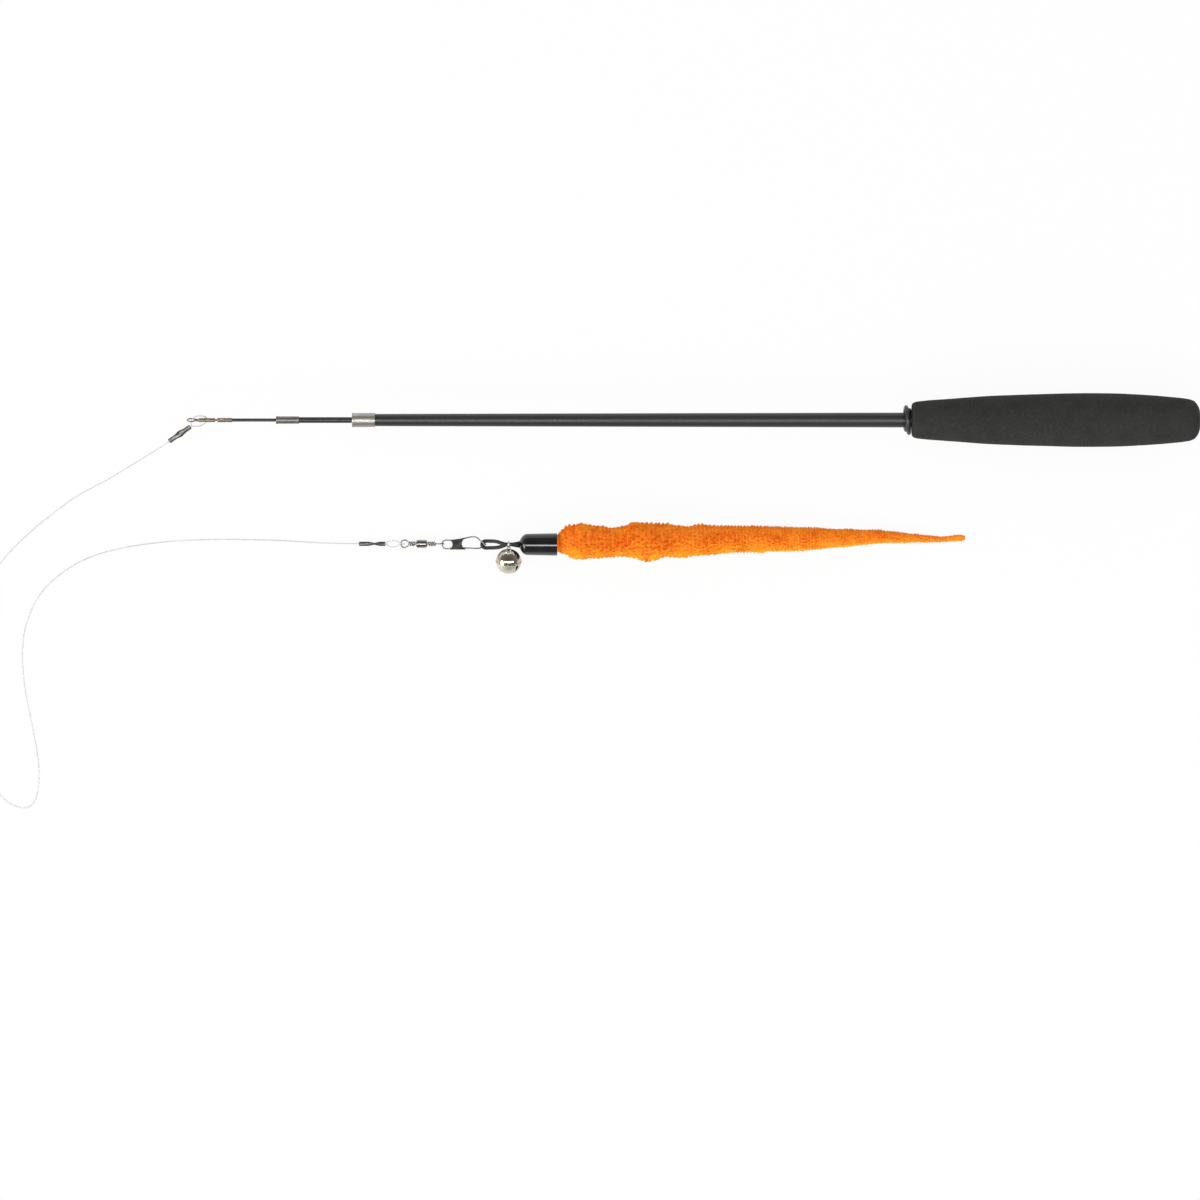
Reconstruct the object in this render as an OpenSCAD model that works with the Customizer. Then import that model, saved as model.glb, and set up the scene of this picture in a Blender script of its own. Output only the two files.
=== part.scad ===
// Cat teaser wand: telescoping wand, clear line, swivel, snap, bell and plush worm.
// Millimetres. +X runs from the wand's tip to its butt, +Z is up, and the floor is z = 0.

/* [Grip] */
// Length of the foam grip
grip_len = 107.8; // [80:0.1:150]
// Largest diameter of the grip
grip_d = 20.3; // [16:0.1:28]
// Foam behind the end of the tube
grip_end = 10; // [6:0.5:20]
// Height of the two rubber keeper rings on the tube
keeper_h = 2.6; // [1.6:0.05:3.5]
// Width of each keeper ring
keeper_w = 1.36; // [1:0.01:1.6]
// Gap between the keeper rings and the grip
keeper_gap = 0.6; // [0.3:0.1:2]

/* [Outer tube] */
// Length of outer tube between its ferrule and the grip
tube_show = 201.6; // [120:0.1:260]
// Diameter at the ferrule
tube_front_d = 4.6; // [4.4:0.1:5]
// Diameter where the tube enters the grip
tube_grip_d = 5.6; // [5.2:0.1:6.6]
// Bore
tube_bore_d = 3.6; // [3:0.1:3.8]
// Diameter of the outer ferrule
outer_ferrule_d = 5.3; // [5.3:0.1:6.5]
// Length of each ferrule
ferrule_len = 8.6; // [6:0.1:14]
// Length of the guide bore in each ferrule
lip_len = 3; // [2:0.1:4.5]

/* [Inner sections] */
// Middle tube that shows when the wand is closed
middle_show = 19.9; // [8:0.1:40]
// Diameter of the middle tube
middle_d = 2.2; // [2.1:0.05:2.6]
// Bore of the middle tube
middle_bore_d = 1.7; // [1.6:0.05:1.8]
// Diameter of the middle ferrule
middle_ferrule_d = 2.75; // [2.7:0.05:3.4]
// Tip rod that shows when the wand is closed
rod_show = 16.4; // [8:0.1:40]
// Diameter of the tip rod
rod_d = 1.2; // [1:0.05:1.3]
// Length of the friction bush on the end of each inner section
stop_len = 12; // [8:0.5:25]

/* [Tip] */
// Length of the crimped sleeve
sleeve_len = 5.6; // [4.5:0.1:9]
// Diameter of the crimped sleeve
sleeve_d = 1.65; // [1.6:0.05:2.2]
// Length of the turning barrel
barrel_len = 6.2; // [4:0.1:10]
// Diameter of the turning barrel
barrel_d = 1.5; // [1.5:0.05:2]
// Distance from the end of the eye to the barrel
eye_len = 4.5; // [4.2:0.1:7]
// Outer diameter of the eye's ring
tip_ring_d = 3.3; // [3:0.1:4]
// Thickness of the eye's wire
tip_wire_d = 0.5; // [0.4:0.05:0.6]
// Lean of the eye's ring from upright, in degrees
tip_ring_lean = 25; // [0:5:30]

/* [Line and crimps] */
// Diameter of the line
line_d = 0.45; // [0.3:0.05:0.6]
// Width of a crimp at its ends
crimp_w = 1.8; // [1.6:0.1:2.4]
// Height of a crimp at its ends
crimp_h = 1.5; // [1.3:0.1:2]
// Width of a crimp where it is pinched
pinch_w = 0.9; // [0.8:0.05:1.2]
// Height of a crimp where it is pinched
pinch_h = 2.4; // [1.6:0.1:2.4]

/* [Swivel] */
// Length of the swivel's barrel
swivel_len = 4.2; // [3.6:0.1:6]
// Diameter of the swivel's barrel
swivel_d = 3; // [2.6:0.1:3.4]
// Outer diameter of a swivel ring
ring_d = 3.35; // [3:0.05:3.4]
// Thickness of the swivel's wire
ring_wire_d = 0.5; // [0.4:0.05:0.55]
// Diameter of the wire wraps beside the barrel
wrap_d = 1.8; // [1.6:0.05:2]
// Length of the wraps on the line's side
line_wrap_len = 2.65; // [2.2:0.05:4]
// Length of the wraps on the snap's side
snap_wrap_len = 3.1; // [2.2:0.05:4]

/* [Snap] */
// Length of the snap from its end bow to the arm's pivot
snap_len = 14.4; // [14:0.1:16]
// Distance between the snap's two wires
snap_w = 3.3; // [3.2:0.05:3.6]
// Thickness of the snap's wire
snap_wire_d = 0.5; // [0.4:0.05:0.55]
// Thickness of the snap's folded plate
plate_t = 0.22; // [0.15:0.01:0.3]

/* [Cord loop] */
// Diameter of the black cord
cord_d = 1.4; // [1.2:0.05:1.45]
// Distance from the centre of the cord's bend to the end cap
cord_len = 12.75; // [12.5:0.05:14]
// Inner radius of the cord's bend
cord_bend_r = 0.57; // [0.55:0.01:0.7]
// Height of the cord's arch at the bell
arch_z = 5.7; // [5.5:0.1:6.5]

/* [Bell] */
// Diameter of the bell
bell_d = 9.5; // [8.5:0.1:9.6]
// Thickness of the bell's shells
bell_wall = 0.4; // [0.3:0.05:0.6]
// Width of the sound slot
slot_w = 0.8; // [0.4:0.1:1.2]
// Diameter of the holes at the slot's ends
slot_hole_d = 1.5; // [1.2:0.1:2]
// Diameter of the loose ball
pellet_d = 2.6; // [2:0.1:3.2]
// Thickness of the shank's wire
shank_wire_d = 0.5; // [0.4:0.05:0.55]
// Thickness of the link round the cord
link_wire_d = 0.45; // [0.35:0.05:0.5]

/* [End cap] */
// Length of the end cap
cap_len = 14.3; // [12:0.1:18]
// Diameter of the cap at its open end
cap_d = 8.5; // [8.4:0.1:9.5]
// Diameter of the cap behind its dome
cap_dome_d = 8.1; // [7.9:0.1:8.4]
// Length of the dome
dome_len = 3.2; // [2.5:0.1:4]
// Bore of the cap
cap_bore_d = 7.2; // [6.8:0.1:7.4]

/* [Worm] */
// Length of the worm beyond the cap
worm_len = 153.6; // [100:0.1:220]
// Thickest part of the worm
worm_d = 14.2; // [12:0.1:18]
// Thickness of the plush skin
plush_t = 1.5; // [1:0.1:1.8]

/* [Placement] */
// Left end of the tip eye
tip_x = -190; // [-200:1:-180]
// Axis of the wand
wand_y = 23.7; // [20:0.1:30]
// Axis of the lure
lure_y = -22.66; // [-30:0.01:-20]
// Height of the swivel's axis
lure_z = 1.75; // [1.7:0.05:2]

/* [Hidden] */

// Clearances: pressed or glued, running, and lying loose
press_gap = 0.02;
run_gap = 0.05;
loose_gap = 0.1;
// Overrun of every cut
over = 1;

// Heights
wand_z = grip_d / 2;
cap_z = cap_d / 2;
bell_z = bell_d / 2;

// Places along the wand, from the tip to the butt
neck_gap = 0.8;
barrel_x = tip_x + eye_len;
neck_x = barrel_x + barrel_len;
sleeve_x = neck_x + neck_gap;
rod_x = sleeve_x + sleeve_len;
middle_ferrule_x = rod_x + rod_show;
middle_x = middle_ferrule_x + ferrule_len;
outer_ferrule_x = middle_x + middle_show;
tube_x = outer_ferrule_x + ferrule_len;
grip_x = tube_x + tube_show;
butt_x = grip_x + grip_len;

// Hidden ends of the three sections
plug_len = 6;
plug_flange = 1;
stow_gap = 3;
tube_end_x = butt_x - grip_end - plug_flange;
middle_end_x = tube_end_x - plug_len - stow_gap;
rod_end_x = middle_end_x - stow_gap;
tube_start_x = outer_ferrule_x + lip_len;
middle_start_x = middle_ferrule_x + lip_len;

// The travel that each section has before its bush meets the ferrule's lip
middle_travel = middle_end_x - stop_len - tube_start_x;
rod_travel = rod_end_x - stop_len - middle_start_x;

// Profile of the grip from its front: shares of its length and of its largest radius
grip_shares = [[0, 0.6], [0.004, 0.64], [0.014, 0.69], [0.056, 0.735], [0.14, 0.8], [0.22, 0.865], [0.31, 0.918],
    [0.39, 0.948], [0.47, 0.973], [0.55, 0.995], [0.61, 1], [0.68, 0.994], [0.76, 0.967], [0.82, 0.933],
    [0.88, 0.882], [0.93, 0.826], [0.965, 0.775], [0.982, 0.69], [0.991, 0.55], [0.996, 0.42], [1, 0.28]];

// Keeper ring and ferrules
flare_len = 0.9;
flare = 0.12;

// Pins of the tip
pin_d = 0.7;
pin_head_d = 1.05;
pin_head_len = 0.5;
pin_root = 1.6;
barrel_wall = 0.6;
barrel_cavity_d = 1.16;
neck_d = 1.15;
sleeve_front = 2;
dent_r = 1.2;
dent_depth = 0.14;

// Ends of the two crimps
crimp_tip_in = [-188.8, 21.2, 8.3];
crimp_tip_out = [-196.7, 15.9, 5.9];
crimp_lure_out = [-125.6, -22.66, 1.2];
crimp_lure_in = [-115.8, -22.66, 1.2];
// Straight lead of the line at a crimp, and the distance between the two strands of a loop there
line_lead = 0.4;
strand_gap = 0.6;
// The line's free route, on the floor after its first stretch
line_route = [[-199.1, 14.2, 5.3], [-203.4, 11.6, 4.2], [-207.8, 8.9, 3.3],
    [-214, 5.2, 2.2], [-220.4, 1.4, 1.4], [-226.3, -1.7, 0.8], [-232, -4.9, 0.5], [-237, -8.2, 0.3],
    [-241.5, -11.8, 0.25], [-247, -16.1, 0.25], [-252.1, -20.7, 0.25], [-260.5, -29.7, 0.25],
    [-268.4, -40.4, 0.25], [-274.9, -56, 0.25], [-277.2, -73.4, 0.25], [-274.9, -91, 0.25],
    [-268.4, -106.6, 0.25], [-260.5, -117.4, 0.25], [-257.3, -120.2, 0.25], [-254.2, -121.6, 0.25],
    [-251, -121.9, 0.25], [-248.3, -120.4, 0.25], [-246.8, -116.7, 0.25], [-246.1, -109.8, 0.25],
    [-246.8, -101.4, 0.25], [-248.7, -90.9, 0.25], [-251.8, -74, 0.25], [-251.8, -57.1, 0.25],
    [-249.9, -50.2, 0.25], [-246.8, -43.4, 0.25], [-242.6, -38.1, 0.25], [-236.2, -32.8, 0.25],
    [-227.8, -28.1, 0.25], [-216.2, -24.6, 0.25], [-203.6, -22.5, 0.25], [-188.8, -21.3, 0.25],
    [-159.2, -21.3, 0.3], [-140, -22.3, 0.6], [-130, -22.6, 1.1]];
// The loop through the tip eye, and the loop through the swivel's ring
tip_loop_route = [[-188.3, 22.3, 9.05], [-188.2, 23.5, 9.4], [-187.5, 24.6, 9.7],
    [-186.4, 25.1, 9.9], [-185, 25.3, 9.9], [-183.6, 25.1, 9.6], [-182.7, 24.5, 9.1], [-182.5, 23.6, 8.75],
    [-183, 22.7, 8.6], [-184.1, 22, 8.5], [-185.6, 21.4, 8.4], [-187.2, 21.4, 8.25]];
lure_loop_route = [[-114.5, -21.8, 1.35], [-113, -21.45, 1.7], [-111.5, -21.7, 2.2],
    [-110.4, -22.2, 2.55], [-109.6, -22.5, 2.6], [-108.95, -22.65, 2.3], [-108.65, -22.66, 1.75],
    [-108.95, -22.67, 1.2], [-109.6, -22.8, 0.9], [-110.4, -23.1, 0.8], [-111.5, -23.6, 0.8],
    [-113, -23.87, 0.9], [-114.5, -23.5, 1.1]];
// Where the pinch of a crimp lies and how much of its length it takes, and the groove between its barrels
pinch_at_share = 0.58;
pinch_length_share = 0.5;
groove_share = 0.16;

// Places along the lure, from the line to the worm
loop_gap = 5.65;
line_ring_x = crimp_lure_in.x + loop_gap + ring_d / 2;
swivel_x = line_ring_x + ring_d / 2 + line_wrap_len;
snap_ring_x = swivel_x + swivel_len + snap_wrap_len + ring_d / 2;
snap_x = snap_ring_x + ring_d / 2 - ring_wire_d - run_gap - snap_wire_d / 2;
pivot_x = snap_x + snap_len;

// The swivel's shanks and its barrel
shank_d = 0.9;
head_d = 1.9;
head_len = 0.6;
swivel_wall = 0.8;
swivel_cavity_d = 2.1;
swivel_end_d = 1.9;
swivel_round_len = 1.1;

// Route of the snap's wire: shares of its length, of its width and of the height at which it clears the cord
hook_rise = cord_d / 2 + snap_wire_d / 2 + 3 * loose_gap;
snap_wire_shares = [[0.281, 0.4, 0], [0.177, 0.41, 0], [0.073, 0.4, 0], [0.018, 0.25, 0], [0, 0.03, 0],
    [0.003, -0.2, 0], [0.028, -0.42, 0], [0.073, -0.54, 0], [0.125, -0.57, 0], [0.229, -0.49, 0],
    [0.597, -0.47, 0], [0.88, -0.52, 0], [0.972, -0.49, -0.4], [1.042, -0.36, -0.85], [1.09, -0.2, -1],
    [1.126, -0.09, -0.62], [1.134, -0.06, 0], [1.126, -0.03, 0.62], [1.09, 0.06, 1], [1.042, 0.2, 0.95],
    [1, 0.34, 0.6]];
snap_gate_shares = [[-0.015, 0.379, 0.55], [-0.055, 0.56, 0.3], [-0.1, 0.72, 0.1], [-0.15, 0.8, 0],
    [-0.21, 0.8, 0], [-0.42, 0.63, 0], [-0.5, 0.55, 0], [-0.57, 0.46, 0]];
// The plate's corners and the centres and radii of its two hollow ends, in the same shares
plate_shares = [[0.205, 0.44], [0.6, 0.66], [0.605, -0.66], [0.21, -0.66]];
plate_left_hollow_shares = [0.13, -0.07, 0.135];
plate_right_hollow_shares = [0.66, 0.02, 0.15];
plate_slot = snap_wire_d + 2 * run_gap;
plate_h = plate_slot + 2 * plate_t;

// The cord: shares of its length from the bend, of its arch, its roll and its spacing
bend_r = cord_bend_r + cord_d / 2;
bend_x = pivot_x + bend_r + cord_d / 2 - 2 * loose_gap + press_gap;
cord_y = lure_y - 2.6 * loose_gap;
cap_x = bend_x + cord_len;
cap_nose = 2.6;
knot_x = cap_x + cap_nose + loose_gap;
stack = cord_d / 2 + press_gap;
link_share = 0.69;
cord_rows = [[0, 0, 0], [0.14, 0.1, 4], [0.27, 0.34, 14], [0.38, 0.62, 32], [0.5, 0.86, 60],
    [0.61, 0.98, 84], [link_share, 1, 88], [0.77, 0.99, 88], [0.86, 0.88, 74], [0.95, 0.74, 55]];
cord_spread_shares = [1, 1, 0.97, 0.85, 0.6, 0.1, 0, 0, 0, 0];
cord_cap_roll = 45;

// The bell hangs from the top of the link
link_x = bend_x + link_share * cord_len;
link_y = cord_y + loose_gap;
link_low = arch_z - stack - cord_d / 2 - loose_gap;
pivot_z = arch_z + stack + cord_d / 2 + loose_gap + shank_wire_d / 2;
link_high = pivot_z + shank_wire_d / 2 + loose_gap;
link_half = cord_d / 2 + 2 * loose_gap;
bell_drop = 6.37;
bell_y = link_y - bell_drop;
bell_rise = pivot_z - bell_z;
bell_reach = norm([bell_drop, bell_rise]);
bell_tilt = atan2(bell_rise, bell_drop);
bell_place = [link_x, bell_y, bell_z];
shank_reach = bell_reach - bell_d / 2;
shank_hole_d = 1.3;
bead_h = 0.35;
bead = 0.15;
slot_turn = -46;
slot_top = 1.2;
// The shank's loop: shares of its reach beyond the bell and of its half width
shank_half = 0.92;
shank_shares = [[-0.32, 0.33], [0, 0.36], [0.25, 0.75], [0.5, 1], [0.75, 0.92], [0.93, 0.6], [1, 0.2]];
pellet_rest = bell_wall + pellet_d / 2 + run_gap;

// The knot in the cap
knot_d = 4.8;
knot_flat = 0.6;
cord_hole_d = 2 * cord_d + 2 * loose_gap;

// The worm: shares of its length, of its thickness and of its sideways bow, from the cap
worm_shares = [[0, 0.5, 0], [0.008, 0.68, 0.05], [0.022, 0.87, 0.25], [0.05, 1, 0.5], [0.085, 0.94, 0.45],
    [0.13, 0.85, 0.4], [0.165, 0.88, 0.5], [0.2, 0.98, 0.6], [0.225, 1, 0.5], [0.26, 0.95, 0.55],
    [0.31, 0.87, 0.6], [0.38, 0.78, 0.8], [0.46, 0.72, 0.85], [0.54, 0.67, 0.9], [0.62, 0.6, 0.95],
    [0.7, 0.5, 1.1], [0.78, 0.38, 1.3], [0.85, 0.3, 1.15], [0.91, 0.235, 0.9], [0.95, 0.2, 0.85],
    [0.98, 0.2, 1.1], [0.993, 0.15, 1.05], [1, 0.06, 1]];
worm_bow = 2.1;
worm_x = cap_x + cap_len;
worm_neck_len = 6.5;
worm_neck_d = cap_bore_d - 2 * run_gap;
worm_low_share = 0.94;
worm_fill_start = 3;
worm_fill_end_share = 0.9;

function unit(v) = v / norm(v);
function mix(a, b, t) = a + (b - a) * t;

// Frames along a route: its direction at point i, and a side vector carried along it without twist
function along(p, i) = unit(p[min(i + 1, len(p) - 1)] - p[max(i - 1, 0)]);
function first_side(t) = unit(cross(t, abs(t.z) < 0.9 ? [0, 0, 1] : [0, 1, 0]));
function carried(p, i, s) = i == len(p) ? [] :
    let (t = along(p, i), n = unit(s - t * (s * t))) concat([n], carried(p, i + 1, n));
function ring_at(c, t, s, r, n) =
    [for (k = [0:n - 1]) c + r * (cos(360 * k / n) * s + sin(360 * k / n) * cross(t, s))];

// Faces that join m rings of n points, closed by two end faces or into a loop
function wall_faces(m, n, loops) = [for (i = [0:m - 1 - (loops ? 0 : 1)]) for (k = [0:n - 1])
    let (a = i * n + k, b = i * n + (k + 1) % n, c = ((i + 1) % m) * n + k, d = ((i + 1) % m) * n + (k + 1) % n)
    each [[a, c, d], [a, d, b]]];
function end_faces(m, n) = [[for (k = [0:n - 1]) k], [for (k = [n - 1:-1:0]) (m - 1) * n + k]];
function flat_list(rings) = [for (r = rings) each r];

// A solid through rings of points
module skin(rings) {
    m = len(rings);
    n = len(rings[0]);
    polyhedron(flat_list(rings), concat(wall_faces(m, n, false), end_faces(m, n)), convexity = 6);
}

// A round tube of diameter d along an open route
module tube(route, d, n = 8) {
    s = carried(route, 0, first_side(along(route, 0)));
    skin([for (i = [0:len(route) - 1]) ring_at(route[i], along(route, i), s[i], d / 2, n)]);
}

// A flat closed wire of diameter d, whose route lies in a plane square to side
module closed_wire(route, d, side, n = 8) {
    m = len(route);
    rings = [for (i = [0:m - 1])
        ring_at(route[i], unit(route[(i + 1) % m] - route[(i + m - 1) % m]), side, d / 2, n)];
    polyhedron(flat_list(rings), wall_faces(m, n, true), convexity = 6);
}

// Children with their +Z along the row's +X, at x on the wand's axis or on the lure's
module on_wand(x) translate([x, wand_y, wand_z]) rotate([0, 90, 0]) children();
module on_lure(x) translate([x, lure_y, lure_z]) rotate([0, 90, 0]) children();
module on_cap(x) translate([x, cord_y, cap_z]) rotate([0, 90, 0]) children();

// A ring of round wire about Z
module torus(outer_d, wire_d) {
    rotate_extrude($fn = 48) translate([(outer_d - wire_d) / 2, 0]) circle(d = wire_d, $fn = 24);
}

// A round bar with a hole through it
module sleeve(len, d, bore_d) {
    difference() {
        cylinder(h = len, d = d, $fn = 48);
        translate([0, 0, -over]) cylinder(h = len + 2 * over, d = bore_d, $fn = 48);
    }
}

// Diameter of the tapered outer tube at x
function tube_d_at(x) = mix(tube_front_d, tube_grip_d, (x - tube_x) / tube_show);

module grip_foam() {
    bore_len = tube_end_x + plug_flange - grip_x;
    color([0.2, 0.2, 0.19]) on_wand(grip_x) difference() {
        rotate_extrude($fn = 72) polygon(concat([[0, 0]],
            [for (s = grip_shares) [s[1] * grip_d / 2, s[0] * grip_len]], [[0, grip_len]]));
        translate([0, 0, -over]) cylinder(h = bore_len + over, d1 = tube_d_at(grip_x - over) + 2 * press_gap,
            d2 = tube_d_at(grip_x + bore_len) + 2 * press_gap, $fn = 48);
    }
}

// A rubber band round the tube, with round edges; the rear one lies next to the grip
module keeper_ring(place) {
    ring_x = grip_x - keeper_gap - keeper_w / 2 - place * (keeper_w + press_gap);
    inner_r = tube_d_at(ring_x + keeper_w / 2) / 2 + press_gap;
    color([0.1, 0.1, 0.1]) on_wand(ring_x) rotate_extrude($fn = 64) translate([inner_r, 0]) {
        translate([keeper_w / 2, -keeper_w / 2]) square([keeper_h - keeper_w, keeper_w]);
        translate([keeper_w / 2, 0]) circle(d = keeper_w, $fn = 24);
        translate([keeper_h - keeper_w / 2, 0]) circle(d = keeper_w, $fn = 24);
    }
}
module keeper_ring_rear() keeper_ring(0);
module keeper_ring_front() keeper_ring(1);

module outer_tube() {
    tube_len = tube_end_x - tube_start_x;
    color([0.12, 0.12, 0.13]) on_wand(tube_start_x) difference() {
        cylinder(h = tube_len, d1 = tube_d_at(tube_start_x), d2 = tube_d_at(tube_end_x), $fn = 48);
        translate([0, 0, -over]) cylinder(h = tube_len + 2 * over, d = tube_bore_d, $fn = 48);
    }
}

module tube_plug() {
    color([0.15, 0.15, 0.15]) {
        on_wand(tube_end_x - plug_len) cylinder(h = plug_len, d = tube_bore_d - 2 * press_gap, $fn = 48);
        on_wand(tube_end_x) cylinder(h = plug_flange, d = tube_d_at(tube_end_x), $fn = 48);
    }
}

// A ferrule with its guide bore in front, a counterbore for its tube behind and a flared front rim
module ferrule(d, guide_d, seat_d) {
    difference() {
        union() {
            cylinder(h = ferrule_len, d = d, $fn = 48);
            cylinder(h = flare_len, d1 = d + 2 * flare, d2 = d, $fn = 48);
        }
        translate([0, 0, -over]) cylinder(h = lip_len + 2 * over, d = guide_d + 2 * run_gap, $fn = 48);
        translate([0, 0, lip_len]) cylinder(h = ferrule_len, d = seat_d + 2 * press_gap, $fn = 48);
    }
}

module outer_ferrule() {
    color([0.72, 0.71, 0.68]) on_wand(outer_ferrule_x) ferrule(outer_ferrule_d, middle_d, tube_d_at(tube_x));
}

module middle_tube() {
    color([0.12, 0.12, 0.13]) on_wand(middle_start_x)
        sleeve(middle_end_x - middle_start_x, middle_d, middle_bore_d);
}

module middle_stop() {
    color([0.35, 0.35, 0.36]) on_wand(middle_end_x - stop_len)
        sleeve(stop_len, tube_bore_d - 2 * run_gap, middle_d + 2 * press_gap);
}

module middle_ferrule() {
    color([0.45, 0.44, 0.42]) on_wand(middle_ferrule_x) ferrule(middle_ferrule_d, rod_d, middle_d);
}

module tip_rod() {
    color([0.12, 0.12, 0.13]) on_wand(sleeve_x + sleeve_front)
        cylinder(h = rod_end_x - sleeve_x - sleeve_front, d = rod_d, $fn = 32);
}

module tip_stop() {
    color([0.35, 0.35, 0.36]) on_wand(rod_end_x - stop_len)
        sleeve(stop_len, middle_bore_d - 2 * run_gap, rod_d + 2 * press_gap);
}

module tip_sleeve() {
    dent_out = sleeve_d / 2 - dent_depth + dent_r;
    color([0.55, 0.5, 0.4]) on_wand(sleeve_x) difference() {
        cylinder(h = sleeve_len, d = sleeve_d, $fn = 48);
        translate([0, 0, sleeve_front]) cylinder(h = sleeve_len, d = rod_d + 2 * press_gap, $fn = 32);
        translate([0, 0, -over]) cylinder(h = pin_root + over, d = pin_d + 2 * press_gap, $fn = 32);
        for (i = [0:3]) rotate([0, 0, 90 * i])
            translate([dent_out, 0, sleeve_len * (i % 2 == 0 ? 0.3 : 0.62)])
                rotate([90, 0, 0]) cylinder(h = sleeve_d, r = dent_r, center = true, $fn = 48);
    }
}

module tip_pin() {
    head_x = neck_x - barrel_wall - run_gap - pin_head_len;
    color([0.6, 0.57, 0.5]) {
        on_wand(head_x) cylinder(h = pin_head_len, d = pin_head_d, $fn = 32);
        on_wand(head_x) cylinder(h = sleeve_x + pin_root - head_x, d = pin_d, $fn = 32);
    }
}

module tip_barrel() {
    color([0.5, 0.44, 0.36]) on_wand(barrel_x) difference() {
        cylinder(h = barrel_len, d = barrel_d, $fn = 48);
        translate([0, 0, -over]) cylinder(h = barrel_len + 2 * over, d = pin_d + 2 * run_gap, $fn = 32);
        translate([0, 0, barrel_wall]) cylinder(h = barrel_len - 2 * barrel_wall, d = barrel_cavity_d, $fn = 32);
    }
}

module tip_eye() {
    ring_x = tip_x + tip_ring_d / 2;
    neck_start = tip_x + tip_ring_d - tip_wire_d;
    neck_len = barrel_x - run_gap - neck_start;
    shank_end = barrel_x + barrel_wall + run_gap;
    color([0.72, 0.68, 0.58]) {
        translate([ring_x, wand_y, wand_z]) rotate([90 + tip_ring_lean, 0, 0]) torus(tip_ring_d, tip_wire_d);
        on_wand(neck_start) cylinder(h = neck_len, d = neck_d - tip_wire_d, $fn = 32);
        for (i = [0:2]) on_wand(neck_start + neck_len * (i + 0.5) / 3) torus(neck_d, tip_wire_d);
        on_wand(neck_start) cylinder(h = shank_end + pin_head_len - neck_start, d = pin_d, $fn = 32);
        on_wand(shank_end) cylinder(h = pin_head_len, d = pin_head_d, $fn = 32);
    }
}

// A line's route with a short straight lead at each end, square to the crimps' faces
function led(route, a, a_way, b, b_way) =
    concat([a, a + line_lead * a_way], route, [b + line_lead * b_way, b]);
tip_way = unit(crimp_tip_in - crimp_tip_out);
tip_side = unit(cross(cross(tip_way, [0, 0, 1]), tip_way)) * strand_gap / 2;
lure_way = unit(crimp_lure_in - crimp_lure_out);
lure_side = unit(cross([0, 0, 1], lure_way)) * strand_gap / 2;

module line_loop_tip() color([0.9, 0.92, 0.93])
    tube(led(tip_loop_route, crimp_tip_in + tip_side, tip_way, crimp_tip_in - tip_side, tip_way), line_d);
module line_main() color([0.9, 0.92, 0.93])
    tube(led(line_route, crimp_tip_out, -tip_way, crimp_lure_out, -lure_way), line_d);
module line_loop_lure() color([0.9, 0.92, 0.93])
    tube(led(lure_loop_route, crimp_lure_in + lure_side, lure_way, crimp_lure_in - lure_side, lure_way), line_d);

// A crimp from a to b, rolled about its length: an oval pair of barrels, pinched near its middle
function pinch_share(u) = let (v = (u - pinch_at_share) / pinch_length_share)
    abs(v) < 0.5 ? (1 + cos(360 * v)) / 2 : 0;
module crimp(a, b, roll) {
    t = unit(b - a);
    flat_side = first_side(t);
    lifted = cross(t, flat_side);
    s = cos(roll) * flat_side + sin(roll) * lifted;
    w = cos(roll) * lifted - sin(roll) * flat_side;
    skin([for (u = [0:0.0625:1]) let (p = pinch_share(u), half_w = mix(crimp_w, pinch_w, p) / 2,
        half_h = mix(crimp_h, pinch_h, p) / 2) [for (k = [0:19]) let (g = 18 * k)
            a + (b - a) * u + s * half_w * cos(g)
                + w * half_h * sin(g) * (1 - groove_share * (1 - p) * pow(abs(sin(g)), 8))]]);
}

module crimp_tip() color([0.4, 0.39, 0.38]) crimp(crimp_tip_in, crimp_tip_out, 90);
module crimp_lure() color([0.4, 0.39, 0.38]) crimp(crimp_lure_out, crimp_lure_in, 0);

// One eye of the swivel: children are its ring, and the wraps, shank and head run along +Z to the barrel
module swivel_shank(wrap_len) {
    wraps = 3;
    reach = wrap_len - run_gap;
    translate([0, 0, -ring_wire_d / 2]) cylinder(h = reach + ring_wire_d / 2, d = wrap_d - ring_wire_d, $fn = 32);
    for (i = [0:wraps - 1]) translate([0, 0, reach * (i + 0.5) / wraps]) torus(wrap_d, ring_wire_d);
    cylinder(h = wrap_len + swivel_wall + run_gap + head_len, d = shank_d, $fn = 32);
    translate([0, 0, wrap_len + swivel_wall + run_gap]) cylinder(h = head_len, d = head_d, $fn = 32);
}

module swivel_line_eye() {
    color([0.55, 0.52, 0.45]) {
        translate([line_ring_x, lure_y, lure_z]) torus(ring_d, ring_wire_d);
        on_lure(line_ring_x + ring_d / 2) swivel_shank(line_wrap_len);
    }
}

module swivel_barrel() {
    round_steps = 4;
    ends = [for (i = [0:round_steps]) let (a = 90 * i / round_steps)
        [mix(swivel_end_d, swivel_d, sin(a)) / 2, swivel_round_len * (1 - cos(a))]];
    color([0.6, 0.57, 0.5]) on_lure(swivel_x) difference() {
        rotate_extrude($fn = 48) polygon(concat([[0, 0]], ends,
            [for (i = [round_steps:-1:0]) [ends[i].x, swivel_len - ends[i].y]], [[0, swivel_len]]));
        translate([0, 0, -over]) cylinder(h = swivel_len + 2 * over, d = shank_d + 2 * run_gap, $fn = 32);
        translate([0, 0, swivel_wall])
            cylinder(h = swivel_len - 2 * swivel_wall, d = swivel_cavity_d, $fn = 32);
    }
}

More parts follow.
